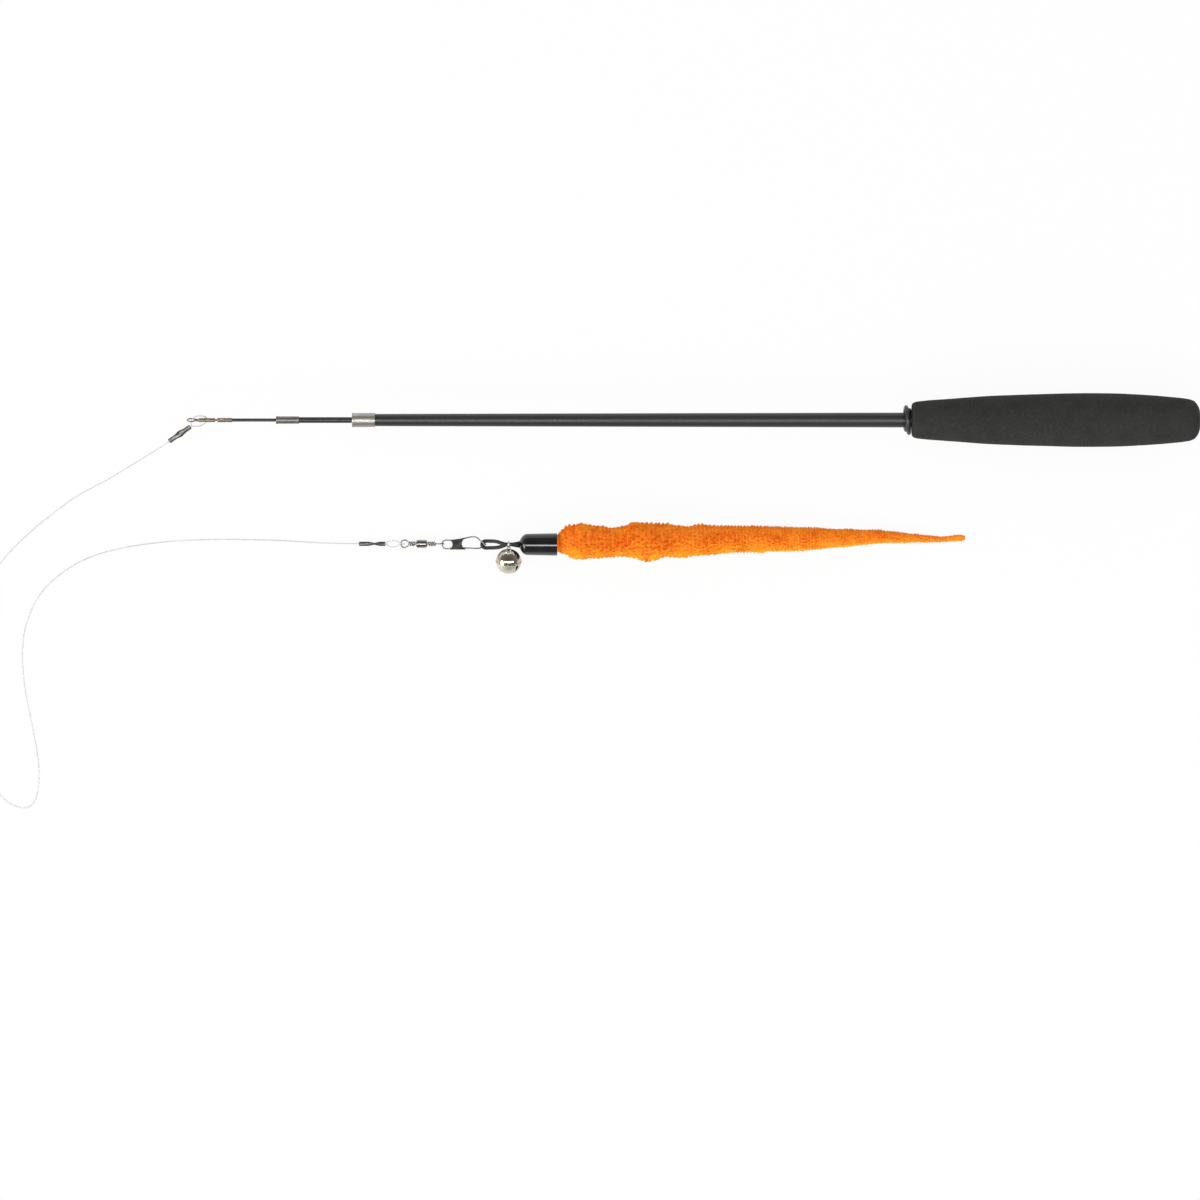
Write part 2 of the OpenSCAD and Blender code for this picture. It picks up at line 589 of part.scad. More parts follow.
module swivel_snap_eye() {
    color([0.55, 0.52, 0.45]) {
        translate([snap_ring_x, lure_y, lure_z]) rotate([90, 0, 0]) torus(ring_d, ring_wire_d);
        translate([2 * (snap_ring_x - ring_d / 2), 0, 0]) mirror([1, 0, 0])
            on_lure(snap_ring_x - ring_d / 2) swivel_shank(snap_wrap_len);
    }
}

// A place on the snap, from shares of its length, width and hook height, measured from x
function snap_point(x, s) = [x + s[0] * snap_len, lure_y + s[1] * snap_w, lure_z + s[2] * hook_rise];

module snap_wire() {
    color([0.45, 0.44, 0.42]) tube([for (s = snap_wire_shares) snap_point(snap_x, s)], snap_wire_d);
}

module snap_gate() {
    color([0.45, 0.44, 0.42]) tube([for (s = snap_gate_shares) snap_point(pivot_x, s)], snap_wire_d);
}

module snap_plate() {
    fold_y = plate_shares[2][1] * snap_w;
    color([0.2, 0.19, 0.18]) translate([snap_x, lure_y, lure_z]) difference() {
        translate([0, 0, -plate_h / 2]) linear_extrude(plate_h) difference() {
            polygon([for (s = plate_shares) [s[0] * snap_len, s[1] * snap_w]]);
            for (c = [plate_left_hollow_shares, plate_right_hollow_shares])
                translate([c[0] * snap_len, c[1] * snap_w]) circle(r = c[2] * snap_len, $fn = 48);
        }
        translate([0, fold_y + plate_t, -plate_slot / 2]) cube([snap_len, snap_w * 2, plate_slot]);
    }
}

// The cord's two strands: a centre line whose strands part from stacked at the cap to level at the bend
function cord_centre(r) = [bend_x + r[0] * cord_len, cord_y, mix(lure_z, arch_z, r[1])];
cord_middle = concat([for (r = cord_rows) cord_centre(r)],
    [[cap_x, cord_y, cap_z], [cap_x + cap_nose, cord_y, cap_z]]);
cord_rolls = concat([for (r = cord_rows) r[2]], [cord_cap_roll, cord_cap_roll]);
cord_spreads = concat([for (s = cord_spread_shares) mix(stack, bend_r, s)], [stack, stack]);
function strand(i, way) = let (t = along(cord_middle, i), s = unit(cross([0, 0, 1], t)), u = cross(t, s))
    cord_middle[i] + way * cord_spreads[i] * (cos(cord_rolls[i]) * s + sin(cord_rolls[i]) * u);

module lure_cord() {
    last = len(cord_middle) - 1;
    bend = [for (a = [112.5:22.5:247.5]) cord_middle[0] + bend_r * [cos(a), sin(a), 0]];
    color([0.1, 0.1, 0.1]) tube(concat([for (i = [last:-1:0]) strand(i, 1)], bend,
        [for (i = [0:last]) strand(i, -1)]), cord_d);
}

module cord_knot() {
    color([0.1, 0.1, 0.1]) on_cap(knot_x - knot_flat) intersection() {
        translate([0, 0, knot_d / 2]) sphere(d = knot_d, $fn = 36);
        translate([-knot_d / 2, -knot_d / 2, knot_flat]) cube(knot_d);
    }
}

module bell_link() {
    r = link_half + link_wire_d / 2;
    low = link_low + link_half;
    high = link_high - link_half;
    arc = [for (a = [0:22.5:180]) [0, r * cos(a), r * sin(a)]];
    color([0.75, 0.72, 0.64]) closed_wire(concat(
        [for (p = arc) [link_x, link_y, high] + p],
        [for (p = arc) [link_x, link_y, low] - p]), link_wire_d, [1, 0, 0]);
}

// Children in the bell's own frame: +Z towards its shank
module in_bell() translate(bell_place) rotate([bell_tilt - 90, 0, 0]) children();

module bell_shank() {
    one_side = [for (s = shank_shares) [-s[1] * shank_half, 0, bell_d / 2 + s[0] * shank_reach]];
    color([0.8, 0.77, 0.68]) in_bell() tube(concat(one_side,
        [for (i = [len(one_side) - 1:-1:0]) [-one_side[i].x, 0, one_side[i].z]]), shank_wire_d);
}

// Half of a hollow ball, above z = 0, with a bead round its rim
module half_shell() {
    rotate_extrude($fn = 64) intersection() {
        difference() {
            union() {
                circle(d = bell_d, $fn = 64);
                square([bell_d / 2 + bead, bead_h]);
            }
            circle(d = bell_d - 2 * bell_wall, $fn = 64);
        }
        square(bell_d);
    }
}

module bell_crown() {
    color([0.78, 0.74, 0.64]) in_bell() difference() {
        half_shell();
        cylinder(h = bell_d, d = shank_hole_d + shank_wire_d, $fn = 32);
    }
}

module bell_bowl() {
    color([0.78, 0.74, 0.64]) in_bell() difference() {
        mirror([0, 0, 1]) half_shell();
        rotate([0, 0, slot_turn]) {
            translate([-bell_d, -slot_w / 2, -bell_d]) cube([2 * bell_d, slot_w, bell_d - slot_top]);
            translate([0, 0, -slot_top]) rotate([0, 90, 0])
                cylinder(h = 2 * bell_d, d = slot_hole_d, center = true, $fn = 32);
        }
    }
}

module bell_pellet() {
    color([0.5, 0.5, 0.5]) translate([bell_place.x, bell_place.y, pellet_rest]) sphere(d = pellet_d, $fn = 32);
}

module end_cap() {
    steps = 10;
    dome = [for (i = [0:steps]) let (a = 90 * i / steps) [cap_dome_d / 2 * sin(a), dome_len * (1 - cos(a))]];
    color([0.08, 0.08, 0.08]) on_cap(cap_x) difference() {
        rotate_extrude($fn = 64) polygon(concat(dome, [[cap_d / 2, cap_len], [0, cap_len]]));
        translate([0, 0, cap_nose]) cylinder(h = cap_len, d = cap_bore_d, $fn = 48);
        translate([0, 0, -over]) cylinder(h = cap_nose + 2 * over, d = cord_hole_d, $fn = 32);
    }
}

// A cross-section of the worm, shrunk by inset, that lies on the floor
function worm_ring(s, inset) = let (r = s[1] * worm_d / 2, low = r * worm_low_share)
    [for (k = [0:15]) [worm_x + s[0] * worm_len, cord_y + s[2] * worm_bow + (r - inset) * cos(22.5 * k),
        low + (low - inset) * sin(22.5 * k)]];
function neck_ring(x, r) = [for (k = [0:15]) [x, cord_y + r * cos(22.5 * k), cap_z + r * sin(22.5 * k)]];

module worm_filling() {
    thick = [for (s = worm_shares) if (s[0] > 0 && s[0] < worm_fill_end_share) s];
    color([0.95, 0.93, 0.88]) skin(concat(
        [neck_ring(worm_x - worm_fill_start, worm_neck_d / 2 - plush_t)],
        [for (s = thick) worm_ring(s, plush_t + press_gap)]));
}

module worm_plush() {
    thick = [for (s = worm_shares) if (s[0] > 0 && s[0] < worm_fill_end_share) s];
    color([0.98, 0.45, 0.12]) difference() {
        skin(concat([neck_ring(worm_x - worm_neck_len, worm_neck_d / 2), neck_ring(worm_x, worm_neck_d / 2)],
            [for (s = worm_shares) if (s[0] > 0) worm_ring(s, 0)]));
        skin(concat([neck_ring(worm_x - worm_fill_start - press_gap, worm_neck_d / 2 - plush_t + press_gap)],
            [for (s = thick) worm_ring(s, plush_t)]));
    }
}

grip_foam();
keeper_ring_rear();
keeper_ring_front();
outer_tube();
tube_plug();
outer_ferrule();
middle_tube();
middle_stop();
middle_ferrule();
tip_rod();
tip_stop();
tip_sleeve();
tip_pin();
tip_barrel();
tip_eye();
line_loop_tip();
crimp_tip();
line_main();
crimp_lure();
line_loop_lure();
swivel_line_eye();
swivel_barrel();
swivel_snap_eye();
snap_wire();
snap_plate();
snap_gate();
lure_cord();
cord_knot();
bell_link();
bell_shank();
bell_crown();
bell_bowl();
bell_pellet();
end_cap();
worm_filling();
worm_plush();
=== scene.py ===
"""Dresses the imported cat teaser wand: foam grip, telescoping tubes, clear line, swivel, snap, bell and plush worm."""

import math
import random

import bpy
from mathutils import Matrix, Vector, noise

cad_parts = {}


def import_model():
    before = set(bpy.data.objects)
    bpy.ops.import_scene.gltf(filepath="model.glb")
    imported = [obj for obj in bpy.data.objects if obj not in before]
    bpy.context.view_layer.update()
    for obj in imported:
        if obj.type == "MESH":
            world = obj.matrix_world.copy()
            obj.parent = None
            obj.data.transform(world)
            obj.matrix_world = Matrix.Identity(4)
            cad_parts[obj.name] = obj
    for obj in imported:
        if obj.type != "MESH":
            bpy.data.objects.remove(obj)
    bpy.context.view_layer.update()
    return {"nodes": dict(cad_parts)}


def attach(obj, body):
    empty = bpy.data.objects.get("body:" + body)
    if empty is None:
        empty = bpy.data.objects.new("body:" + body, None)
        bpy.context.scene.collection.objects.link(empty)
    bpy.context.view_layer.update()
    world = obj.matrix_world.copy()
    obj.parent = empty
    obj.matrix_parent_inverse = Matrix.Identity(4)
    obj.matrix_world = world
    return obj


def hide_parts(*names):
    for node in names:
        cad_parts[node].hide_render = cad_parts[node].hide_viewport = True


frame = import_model()
noise.seed_set(5)  # Else noise_vector starts from the clock

MM = 0.001

# Places and sizes of the wand and the lure, in millimetres, as in the part's source
WAND_Y, WAND_Z = 23.7, 10.15
LURE_Y, LURE_Z = -22.66, 1.75
CORD_Y, CAP_Z = -22.92, 4.25
TIP_X, BARREL_X, SLEEVE_X, MIDDLE_FERRULE_X, OUTER_FERRULE_X = -190.0, -185.5, -178.5, -156.5, -128.0
TUBE_X, GRIP_X, TUBE_END_X, MIDDLE_END_X, ROD_END_X = -119.4, 82.2, 179.0, 170.0, 167.0
OUTER_BORE_R, MIDDLE_R, MIDDLE_BORE_R, ROD_R, SLEEVE_R = 1.8, 1.1, 0.85, 0.6, 0.825
FERRULE_GUIDE, SLEEVE_LEN, PLUG_ROOM, BORE_GAP = 3.0, 5.6, 1.02, 0.03
LINE_RING_X, SWIVEL_X, SNAP_RING_X, SNAP_X, PIVOT_X = -108.475, -104.15, -95.175, -94.3, -79.9
SNAP_LEN, SNAP_W, HOOK_RISE, SNAP_WIRE_D = 14.4, 3.3, 1.25, 0.5
RING_R, RING_WIRE_D = 1.425, 0.5
BEND_X, BEND_R, CAP_X, CAP_LEN = -78.11, 1.27, -65.36, 14.3
CORD_D, CORD_ARCH, CORD_STACK = 1.4, 5.7, 0.72
LINK_X, LINK_Y, LINK_HALF, LINK_WIRE_D, LINK_GAP, PIVOT_Z = -69.3125, -22.82, 0.9, 0.45, 0.1, 7.47
BELL_R, BELL_WALL, BELL_DROP, SHANK_WIRE_D = 4.75, 0.4, 6.37, 0.5
WORM_X = CAP_X + CAP_LEN


def mm(*lengths):
    """Millimetres to metres."""
    return tuple(v * MM for v in lengths)


def on_circle(angles):
    """Cosine and sine of angles in degrees."""
    return [(math.cos(math.radians(a)), math.sin(math.radians(a))) for a in angles]


def at(x, y, z):
    """A place in millimetres as a matrix."""
    return Matrix.Translation(mm(x, y, z))


def in_scene(name, data):
    """A new object of this data, put in the scene."""
    piece = bpy.data.objects.new(name, data)
    bpy.context.scene.collection.objects.link(piece)
    return piece


# ---- Camera and line first

# Height over the plane at SUBJECT_LEVEL that the picture's width is measured on, in metres
CAMERA_HEIGHT, SUBJECT_LEVEL = 3.0, 0.004
FRAME_WIDTH, FRAME_MIDDLE = 0.451, (-0.0350, -0.0438)


def photo_camera():
    """Looks straight down with a long lens, picture up along +Y."""
    data = bpy.data.cameras.new("camera")
    data.sensor_width = 36.0
    data.lens = data.sensor_width * CAMERA_HEIGHT / FRAME_WIDTH
    data.clip_start, data.clip_end = 0.1, 20.0
    camera = in_scene("camera", data)
    camera.location = (*FRAME_MIDDLE, CAMERA_HEIGHT + SUBJECT_LEVEL)
    bpy.context.scene.camera = camera


photo_camera()

LINE_D = 0.45
CRIMP_TIP_IN, CRIMP_TIP_OUT = (-188.8, 21.2, 8.3), (-196.7, 15.9, 5.9)
CRIMP_LURE_OUT, CRIMP_LURE_IN = (-125.6, -22.66, 1.2), (-115.8, -22.66, 1.2)
LINE_FLAT = 0.25
LINE_ROUTE = [
    CRIMP_TIP_OUT, (-199.1, 14.2, 5.3), (-203.4, 11.6, 4.2), (-207.8, 8.9, 3.3), (-214, 5.2, 2.2),
    (-220.4, 1.4, 1.4), (-226.3, -1.7, 0.8), (-232, -4.9, 0.5),
    *((x, y, LINE_FLAT) for x, y in (
        (-241.5, -11.8), (-252.1, -20.7), (-260.5, -29.7), (-268.4, -40.4), (-274.9, -56), (-277.2, -73.4),
        (-274.9, -91), (-268.4, -106.6), (-260.5, -117.4), (-257.3, -120.2), (-254.2, -121.6), (-251, -121.9),
        (-248.3, -120.4), (-246.8, -116.7), (-246.1, -109.8), (-246.8, -101.4), (-248.7, -90.9), (-251.8, -74),
        (-251.8, -57.1), (-249.9, -50.2), (-246.8, -43.4), (-242.6, -38.1), (-236.2, -32.8), (-227.8, -28.1),
        (-216.2, -24.6), (-203.6, -22.5), (-188.8, -21.3))),
    (-159.2, -21.3, 0.3), (-140, -22.3, 0.6), (-130, -22.6, 1.1), CRIMP_LURE_OUT]
TIP_LOOP = [
    (-188.85, 21.31, 8.59), (-188.48, 21.52, 8.7), (-188.3, 22.3, 9.05), (-188.2, 23.5, 9.4), (-187.5, 24.6, 9.7),
    (-186.4, 25.1, 9.9), (-185, 25.3, 9.9), (-183.6, 25.1, 9.6), (-182.7, 24.5, 9.1), (-182.5, 23.6, 8.75),
    (-183, 22.7, 8.6), (-184.1, 22, 8.5), (-185.6, 21.4, 8.4), (-187.2, 21.4, 8.25), (-188.42, 21.3, 8.12),
    (-188.75, 21.09, 8.01)]
LURE_LOOP = [
    (-115.8, -22.36, 1.2), (-115.4, -22.36, 1.2), (-114.5, -21.8, 1.35), (-113, -21.45, 1.7), (-111.5, -21.7, 2.2),
    (-110.4, -22.2, 2.55), (-109.6, -22.5, 2.6), (-108.95, -22.65, 2.3), (-108.65, -22.66, 1.75),
    (-108.95, -22.67, 1.2), (-109.6, -22.8, 0.9), (-110.4, -23.1, 0.8), (-111.5, -23.6, 0.8), (-113, -23.87, 0.9),
    (-114.5, -23.5, 1.1), (-115.4, -22.96, 1.2), (-115.8, -22.96, 1.2)]


def smooth_curve(name, route, diameter, sides=4, steps=5, closed=False):
    """A round wire or cord along a route in millimetres."""
    data = bpy.data.curves.new(name, "CURVE")
    data.dimensions = "3D"
    data.resolution_u = steps
    data.bevel_depth = diameter * MM / 2
    data.bevel_resolution = sides
    data.use_fill_caps = not closed
    spline = data.splines.new("BEZIER")
    spline.bezier_points.add(len(route) - 1)
    for point, place in zip(spline.bezier_points, route):
        point.co = mm(*place)
        point.handle_left_type = point.handle_right_type = "AUTO"
    spline.use_cyclic_u = closed
    return in_scene(name, data)


# ---- Finishes


class Nodes:
    """A node tree, with short ways to add to it."""

    def __init__(self, tree):
        self.tree = tree

    def add(self, kind, **values):
        """A node with its properties or the constants of its sockets."""
        node = self.tree.nodes.new(kind)
        for key, value in values.items():
            if hasattr(node, key):
                setattr(node, key, value)
            else:
                node.inputs[key.replace("_", " ").title()].default_value = value
        return node

    def join(self, output, socket):
        self.tree.links.new(output, socket)

    def put(self, value, socket):
        """Feeds a socket from an output, or sets it to a number or a colour."""
        if isinstance(value, tuple):
            socket.default_value = (*value, 1.0)
        elif isinstance(value, float):
            socket.default_value = value
        else:
            self.join(value, socket)

    def ramp(self, value, *stops):
        """Colours along a value: stops are (place, colour)."""
        ramp = self.add("ShaderNodeValToRGB")
        while len(ramp.color_ramp.elements) < len(stops):
            ramp.color_ramp.elements.new(0.5)
        for element, (place, colour) in zip(ramp.color_ramp.elements, stops):
            element.position = place
            element.color = (*colour, 1.0)
        self.join(value, ramp.inputs["Fac"])
        return ramp.outputs["Color"]

    def span(self, value, low, high, from_low=0.3, from_high=0.7):
        """A value spread over a new range."""
        node = self.add("ShaderNodeMapRange", from_min=from_low, from_max=from_high, to_min=low, to_max=high)
        self.join(value, node.inputs["Value"])
        return node.outputs["Result"]

    def reckon(self, operation, a, b):
        """Arithmetic on two values."""
        node = self.add("ShaderNodeMath", operation=operation)
        self.put(a, node.inputs[0])
        self.put(b, node.inputs[1])
        return node.outputs["Value"]

    def blend(self, a, b, share):
        """Mixes two colours, share from 0 to 1."""
        node = self.add("ShaderNodeMix", data_type="RGBA")
        sockets = {s.identifier: s for s in node.inputs}
        for name, value in (("Factor_Float", share), ("A_Color", a), ("B_Color", b)):
            self.put(value, sockets[name])
        return [s for s in node.outputs if s.identifier == "Result_Color"][0]


class Finish(Nodes):
    """A Principled material whose patterns are placed by Object coordinates, in metres."""

    def __init__(self, name, **sockets):
        self.material = bpy.data.materials.new(name)
        self.material.use_nodes = True
        super().__init__(self.material.node_tree)
        self.shader = self.tree.nodes["Principled BSDF"]
        self.where = self.add("ShaderNodeTexCoord").outputs["Object"]
        for key, value in sockets.items():
            self.put(value, self.shader.inputs[key.replace("_", " ").title().replace("Ior", "IOR")])

    def texture(self, kind, output, stretch=None, where=None, **values):
        """A texture on Object coordinates, or on others, as they are or stretched."""
        node, where = self.add("ShaderNodeTex" + kind, **values), where or self.where
        if stretch:
            mapping = self.add("ShaderNodeMapping", scale=stretch)
            self.join(where, mapping.inputs["Vector"])
            where = mapping.outputs["Vector"]
        self.join(where, node.inputs["Vector"])
        return node.outputs[output]

    def grain(self, scale, detail=3.0, roughness=0.55, **more):
        """Cloudy noise from 0 to 1, scale in features per metre."""
        return self.texture("Noise", "Fac", scale=scale, detail=detail, roughness=roughness, **more)

    def colour(self, value):
        self.join(value, self.shader.inputs["Base Color"])

    def rough(self, value):
        self.join(value, self.shader.inputs["Roughness"])

    def relief(self, value, depth, strength, under=None):
        """Bump of a depth in millimetres, on top of another relief if under is given."""
        bump = self.add("ShaderNodeBump", strength=strength, distance=depth * MM)
        self.join(value, bump.inputs["Height"])
        if under is not None:
            self.join(under, bump.inputs["Normal"])
        self.join(bump.outputs["Normal"], self.shader.inputs["Normal"])
        return bump.outputs["Normal"]


def foam_finish():
    """Charcoal closed-cell foam: soft clouds, fine pores, a dull skin."""
    f = Finish("charcoal_foam", specular_ior_level=0.22)
    clouds = f.grain(130.0, detail=4.0, roughness=0.65)
    specks = f.grain(1400.0, detail=2.0, roughness=0.7)
    base = f.ramp(clouds, (0.32, (0.0175, 0.0172, 0.0162)), (0.68, (0.029, 0.0286, 0.0265)))
    f.colour(f.blend(base, (0.054, 0.053, 0.047), f.span(specks, 0.0, 0.6, 0.54, 0.72)))
    f.rough(f.span(clouds, 0.8, 0.94))
    pitted = f.relief(f.texture("Voronoi", "Distance", scale=1500.0), 0.10, 0.55)
    f.relief(f.grain(450.0, detail=4.0), 0.14, 0.5, under=pitted)
    return f.material


def tube_finish():
    """Black glass-fibre tube under clear varnish, with faint fibres along it."""
    f = Finish("varnished_black_tube", specular_ior_level=0.5, coat_weight=0.12, coat_roughness=0.34)
    fibres = f.grain(420.0, detail=3.0, stretch=(0.02, 1.0, 1.0))
    f.colour(f.ramp(fibres, (0.3, (0.0115, 0.0118, 0.013)), (0.7, (0.017, 0.0173, 0.0185))))
    f.rough(f.span(f.grain(60.0, detail=2.0, stretch=(0.25, 1.0, 1.0)), 0.38, 0.5))
    f.relief(fibres, 0.02, 0.35)
    return f.material


def metal_finish(name, dark, light, smooth, rough, turned_lines=0.0, tarnish=380.0):
    """Metal with cloudy tarnish and, where it was turned, fine lines round it."""
    f = Finish(name, metallic=1.0)
    clouds = f.grain(tarnish, detail=4.0, roughness=0.6)
    f.colour(f.ramp(clouds, (0.34, dark), (0.66, light)))
    f.rough(f.span(clouds, rough, smooth))
    if turned_lines:
        f.relief(f.grain(3200.0, detail=2.0, stretch=(1.0, 0.03, 0.03)), turned_lines, 0.5)
    else:
        f.relief(f.grain(900.0, detail=2.0), 0.012, 0.3)
    return f.material


def line_finish():
    """Clear nylon line."""
    f = Finish("clear_nylon", transmission_weight=0.2, ior=1.4, specular_ior_level=0.5)
    haze = f.grain(250.0, stretch=(0.3, 1.0, 1.0))
    f.colour(f.ramp(haze, (0.3, (0.66, 0.66, 0.65)), (0.7, (0.76, 0.76, 0.75))))
    f.rough(f.span(haze, 0.2, 0.34))
    return f.material


def cord_finish():
    """Black braided cord; the braid follows the cord by its UV map."""
    f = Finish("black_braid", specular_ior_level=0.4, sheen_weight=0.15)
    uv = f.add("ShaderNodeTexCoord").outputs["UV"]
    strands = [f.texture("Wave", "Fac", (34.0, slope, 1.0), uv, wave_type="BANDS", bands_direction="DIAGONAL",
                         scale=1.0) for slope in (6.0, -6.0)]
    braid = f.reckon("MULTIPLY", *strands)
    f.colour(f.ramp(braid, (0.0, (0.006, 0.006, 0.006)), (0.8, (0.022, 0.022, 0.021))))
    f.rough(f.span(f.grain(500.0), 0.42, 0.6))
    f.relief(braid, 0.07, 0.6)
    return f.material


def cap_finish():
    """Glossy black moulded plastic with a hair of moulding waviness and dust."""
    f = Finish("gloss_black_plastic", specular_ior_level=0.5, coat_weight=0.35, coat_roughness=0.05)
    haze = f.grain(160.0, detail=4.0)
    f.colour(f.ramp(haze, (0.3, (0.004, 0.004, 0.0042)), (0.7, (0.008, 0.008, 0.0083))))
    f.rough(f.span(haze, 0.08, 0.15))
    f.relief(f.grain(240.0, detail=1.0), 0.008, 0.3)
    return f.material


def plain_finish(name, dark, light, smooth, rough, scale=500.0, ends=(0.3, 0.7)):
    """Dull rubber, plastic or stuffing, a little cloudy."""
    f = Finish(name)
    clouds = f.grain(scale)
    f.colour(f.ramp(clouds, (ends[0], dark), (ends[1], light)))
    f.rough(f.span(clouds, smooth, rough))
    f.relief(clouds, 0.03, 0.4)
    return f.material


def plush_finish():
    """Orange plush with painted light and shade: redder and darker at the roots and in the folds (painted shade),
    yellower at the tips and on the flanks (painted light).
    """
    f = Finish("orange_plush", specular_ior_level=0.12, roughness=0.85)
    strands = f.grain(900.0, detail=2.0, roughness=0.6)
    patches = f.grain(110.0, detail=3.0, stretch=(0.7, 1.0, 1.0), distortion=0.5)
    # Painted light and shade: the dark red root colour stands in for shade deep in the pile, the yellow tip colour for
    # light through the fibre ends.
    root = f.ramp(strands, (0.3, (0.93, 0.175, 0.01)), (0.7, (0.97, 0.22, 0.012)))
    tip = f.ramp(strands, (0.3, (0.98, 0.46, 0.022)), (0.7, (1.0, 0.68, 0.05)))
    height = f.add("ShaderNodeAttribute", attribute_name="tip")
    # Painted shade in the folds: the fold attribute blends in a darker red.
    fold = f.add("ShaderNodeAttribute", attribute_name="fold")
    pile = f.blend(root, tip, height.outputs["Fac"])
    pile = f.blend(pile, (0.92, 0.15, 0.01), f.span(fold.outputs["Fac"], 0.0, 0.62, 0.0, 1.0))
    f.colour(f.blend(pile, (1.0, 0.32, 0.014), f.span(patches, 0.0, 0.16)))
    f.relief(strands, 0.03, 0.2)
    return f.material


# Each slot's material
FINISHES = {
    "foam": foam_finish(),
    "keeper_rubber": plain_finish("black_rubber", (0.016, 0.016, 0.017), (0.034, 0.034, 0.034), 0.32, 0.5,
                                  scale=700.0, ends=(0.35, 0.75)),
    "tube_black": tube_finish(),
    "ferrule_nickel": metal_finish("satin_nickel", (0.365, 0.352, 0.316), (0.42, 0.405, 0.366), 0.42, 0.47, 0.01),
    "ferrule_dark": metal_finish("dark_nickel", (0.17, 0.159, 0.148), (0.215, 0.202, 0.189), 0.46, 0.52, 0.01),
    "tip_metal": metal_finish("aged_brass", (0.17, 0.138, 0.1), (0.3, 0.253, 0.195), 0.34, 0.46, 0.01),
    "crimp_metal": metal_finish("gunmetal_crimp", (0.075, 0.069, 0.064), (0.17, 0.158, 0.147), 0.3, 0.44),
    "swivel_metal": metal_finish("swivel_nickel", (0.12, 0.108, 0.094), (0.4, 0.375, 0.335), 0.16, 0.28),
    "snap_steel": metal_finish("snap_wire_steel", (0.12, 0.115, 0.11), (0.3, 0.29, 0.27), 0.22, 0.36),
    "snap_dark": metal_finish("dark_snap_plate", (0.018, 0.017, 0.016), (0.042, 0.039, 0.036), 0.34, 0.5),
    # Painted reflection: darker than the bowl's nickel, standing in for the dim room that the crown mirrors.
    "bell_nickel": metal_finish("bell_nickel", (0.44, 0.39, 0.31), (0.6, 0.54, 0.45), 0.06, 0.12, tarnish=140.0),
    "bell_wire": metal_finish("bell_wire_nickel", (0.66, 0.63, 0.56), (0.86, 0.83, 0.76), 0.26, 0.36),
    "pellet_steel": metal_finish("steel_ball", (0.3, 0.3, 0.3), (0.45, 0.45, 0.44), 0.3, 0.45),
    "line_clear": line_finish(),
    "cord_black": cord_finish(),
    "cap_black": cap_finish(),
    "plush_orange": plush_finish(),
    "filling": plain_finish("white_stuffing", (0.62, 0.6, 0.55), (0.8, 0.78, 0.73), 0.84, 0.96),
    "plug_plastic": plain_finish("black_plug", (0.012, 0.012, 0.012), (0.03, 0.03, 0.03), 0.54, 0.66),
    "stop_plastic": plain_finish("grey_bush", (0.07, 0.07, 0.07), (0.13, 0.13, 0.13), 0.44, 0.56)}
# Painted reflection: the bowl is a rougher, lighter and beiger copy of the crown's nickel; its lighter colour stands in
# for the bright floor that it mirrors.
BOWL_PAINTED_REFLECTION_FINISH = metal_finish("bell_bowl_nickel_painted_reflection", (0.66, 0.62, 0.5), (0.74, 0.7, 0.58), 0.4, 0.5, tarnish=140.0)


# ---- Ways of making

SEAM, SPIN_SEAM = 1e-7, 4e-7


def pick(*pieces):
    """Selects these pieces only, with the first one active."""
    bpy.ops.object.select_all(action="DESELECT")
    for piece in pieces:
        piece.select_set(True)
    bpy.context.view_layer.objects.active = pieces[0]


def place_in_mesh(piece):
    """Moves the piece's place, turn and size into its mesh."""
    pick(piece)
    bpy.ops.object.transform_apply(location=True, rotation=True, scale=True)


def open_mesh(piece):
    """Opens the piece's mesh for editing, all of it selected."""
    pick(piece)
    bpy.ops.object.mode_set(mode="EDIT")
    bpy.ops.mesh.select_all(action="SELECT")


def close_mesh():
    bpy.ops.object.mode_set(mode="OBJECT")


def face_outwards(piece, merge=0.0):
    """Merges points closer than merge, in metres, and turns all faces outwards."""
    open_mesh(piece)
    if merge:
        bpy.ops.mesh.remove_doubles(threshold=merge)
    bpy.ops.mesh.normals_make_consistent(inside=False)
    close_mesh()


def modified(piece, kind, **settings):
    """Adds a modifier to the piece and applies it."""
    pick(piece)
    modifier = piece.modifiers.new(kind.lower(), kind)
    for key, value in settings.items():
        setattr(modifier, key, value)
    bpy.ops.object.modifier_apply(modifier=modifier.name)


def dress(piece, material):
    """Gives the piece this one material."""
    piece.data.materials.clear()
    piece.data.materials.append(material)


def settle(piece, name, body, slot, replaced=(), angle=32.0, material=None):
    """Applies the piece's place, gives it its finish and lets it ride on its body."""
    place_in_mesh(piece)
    if angle is not None:
        bpy.ops.object.shade_smooth_by_angle(angle=math.radians(angle))
    piece.name = name
    dress(piece, material or FINISHES[slot])
    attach(piece, body)
    if replaced:
        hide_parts(*replaced)
    return piece


def wire(name, route, diameter, sides=4, steps=5, closed=False):
    """A smooth curve made into a mesh; its own UV map keeps its lay."""
    pick(smooth_curve(name, route, diameter, sides, steps, closed))
    bpy.ops.object.convert(target="MESH")
    piece = bpy.context.view_layer.objects.active
    face_outwards(piece, merge=SEAM)
    return piece


def lay_wire(name, body, slot, replaced, route, diameter, **shape):
    """A wire along a route, settled on its body."""
    return settle(wire(name, route, diameter, **shape), name, body, slot, replaced, angle=60.0)


def from_points(name, points, faces):
    """A mesh of points in metres and the faces between them."""
    mesh = bpy.data.meshes.new(name)
    mesh.from_pydata(points, [], faces)
    return in_scene(name, mesh)


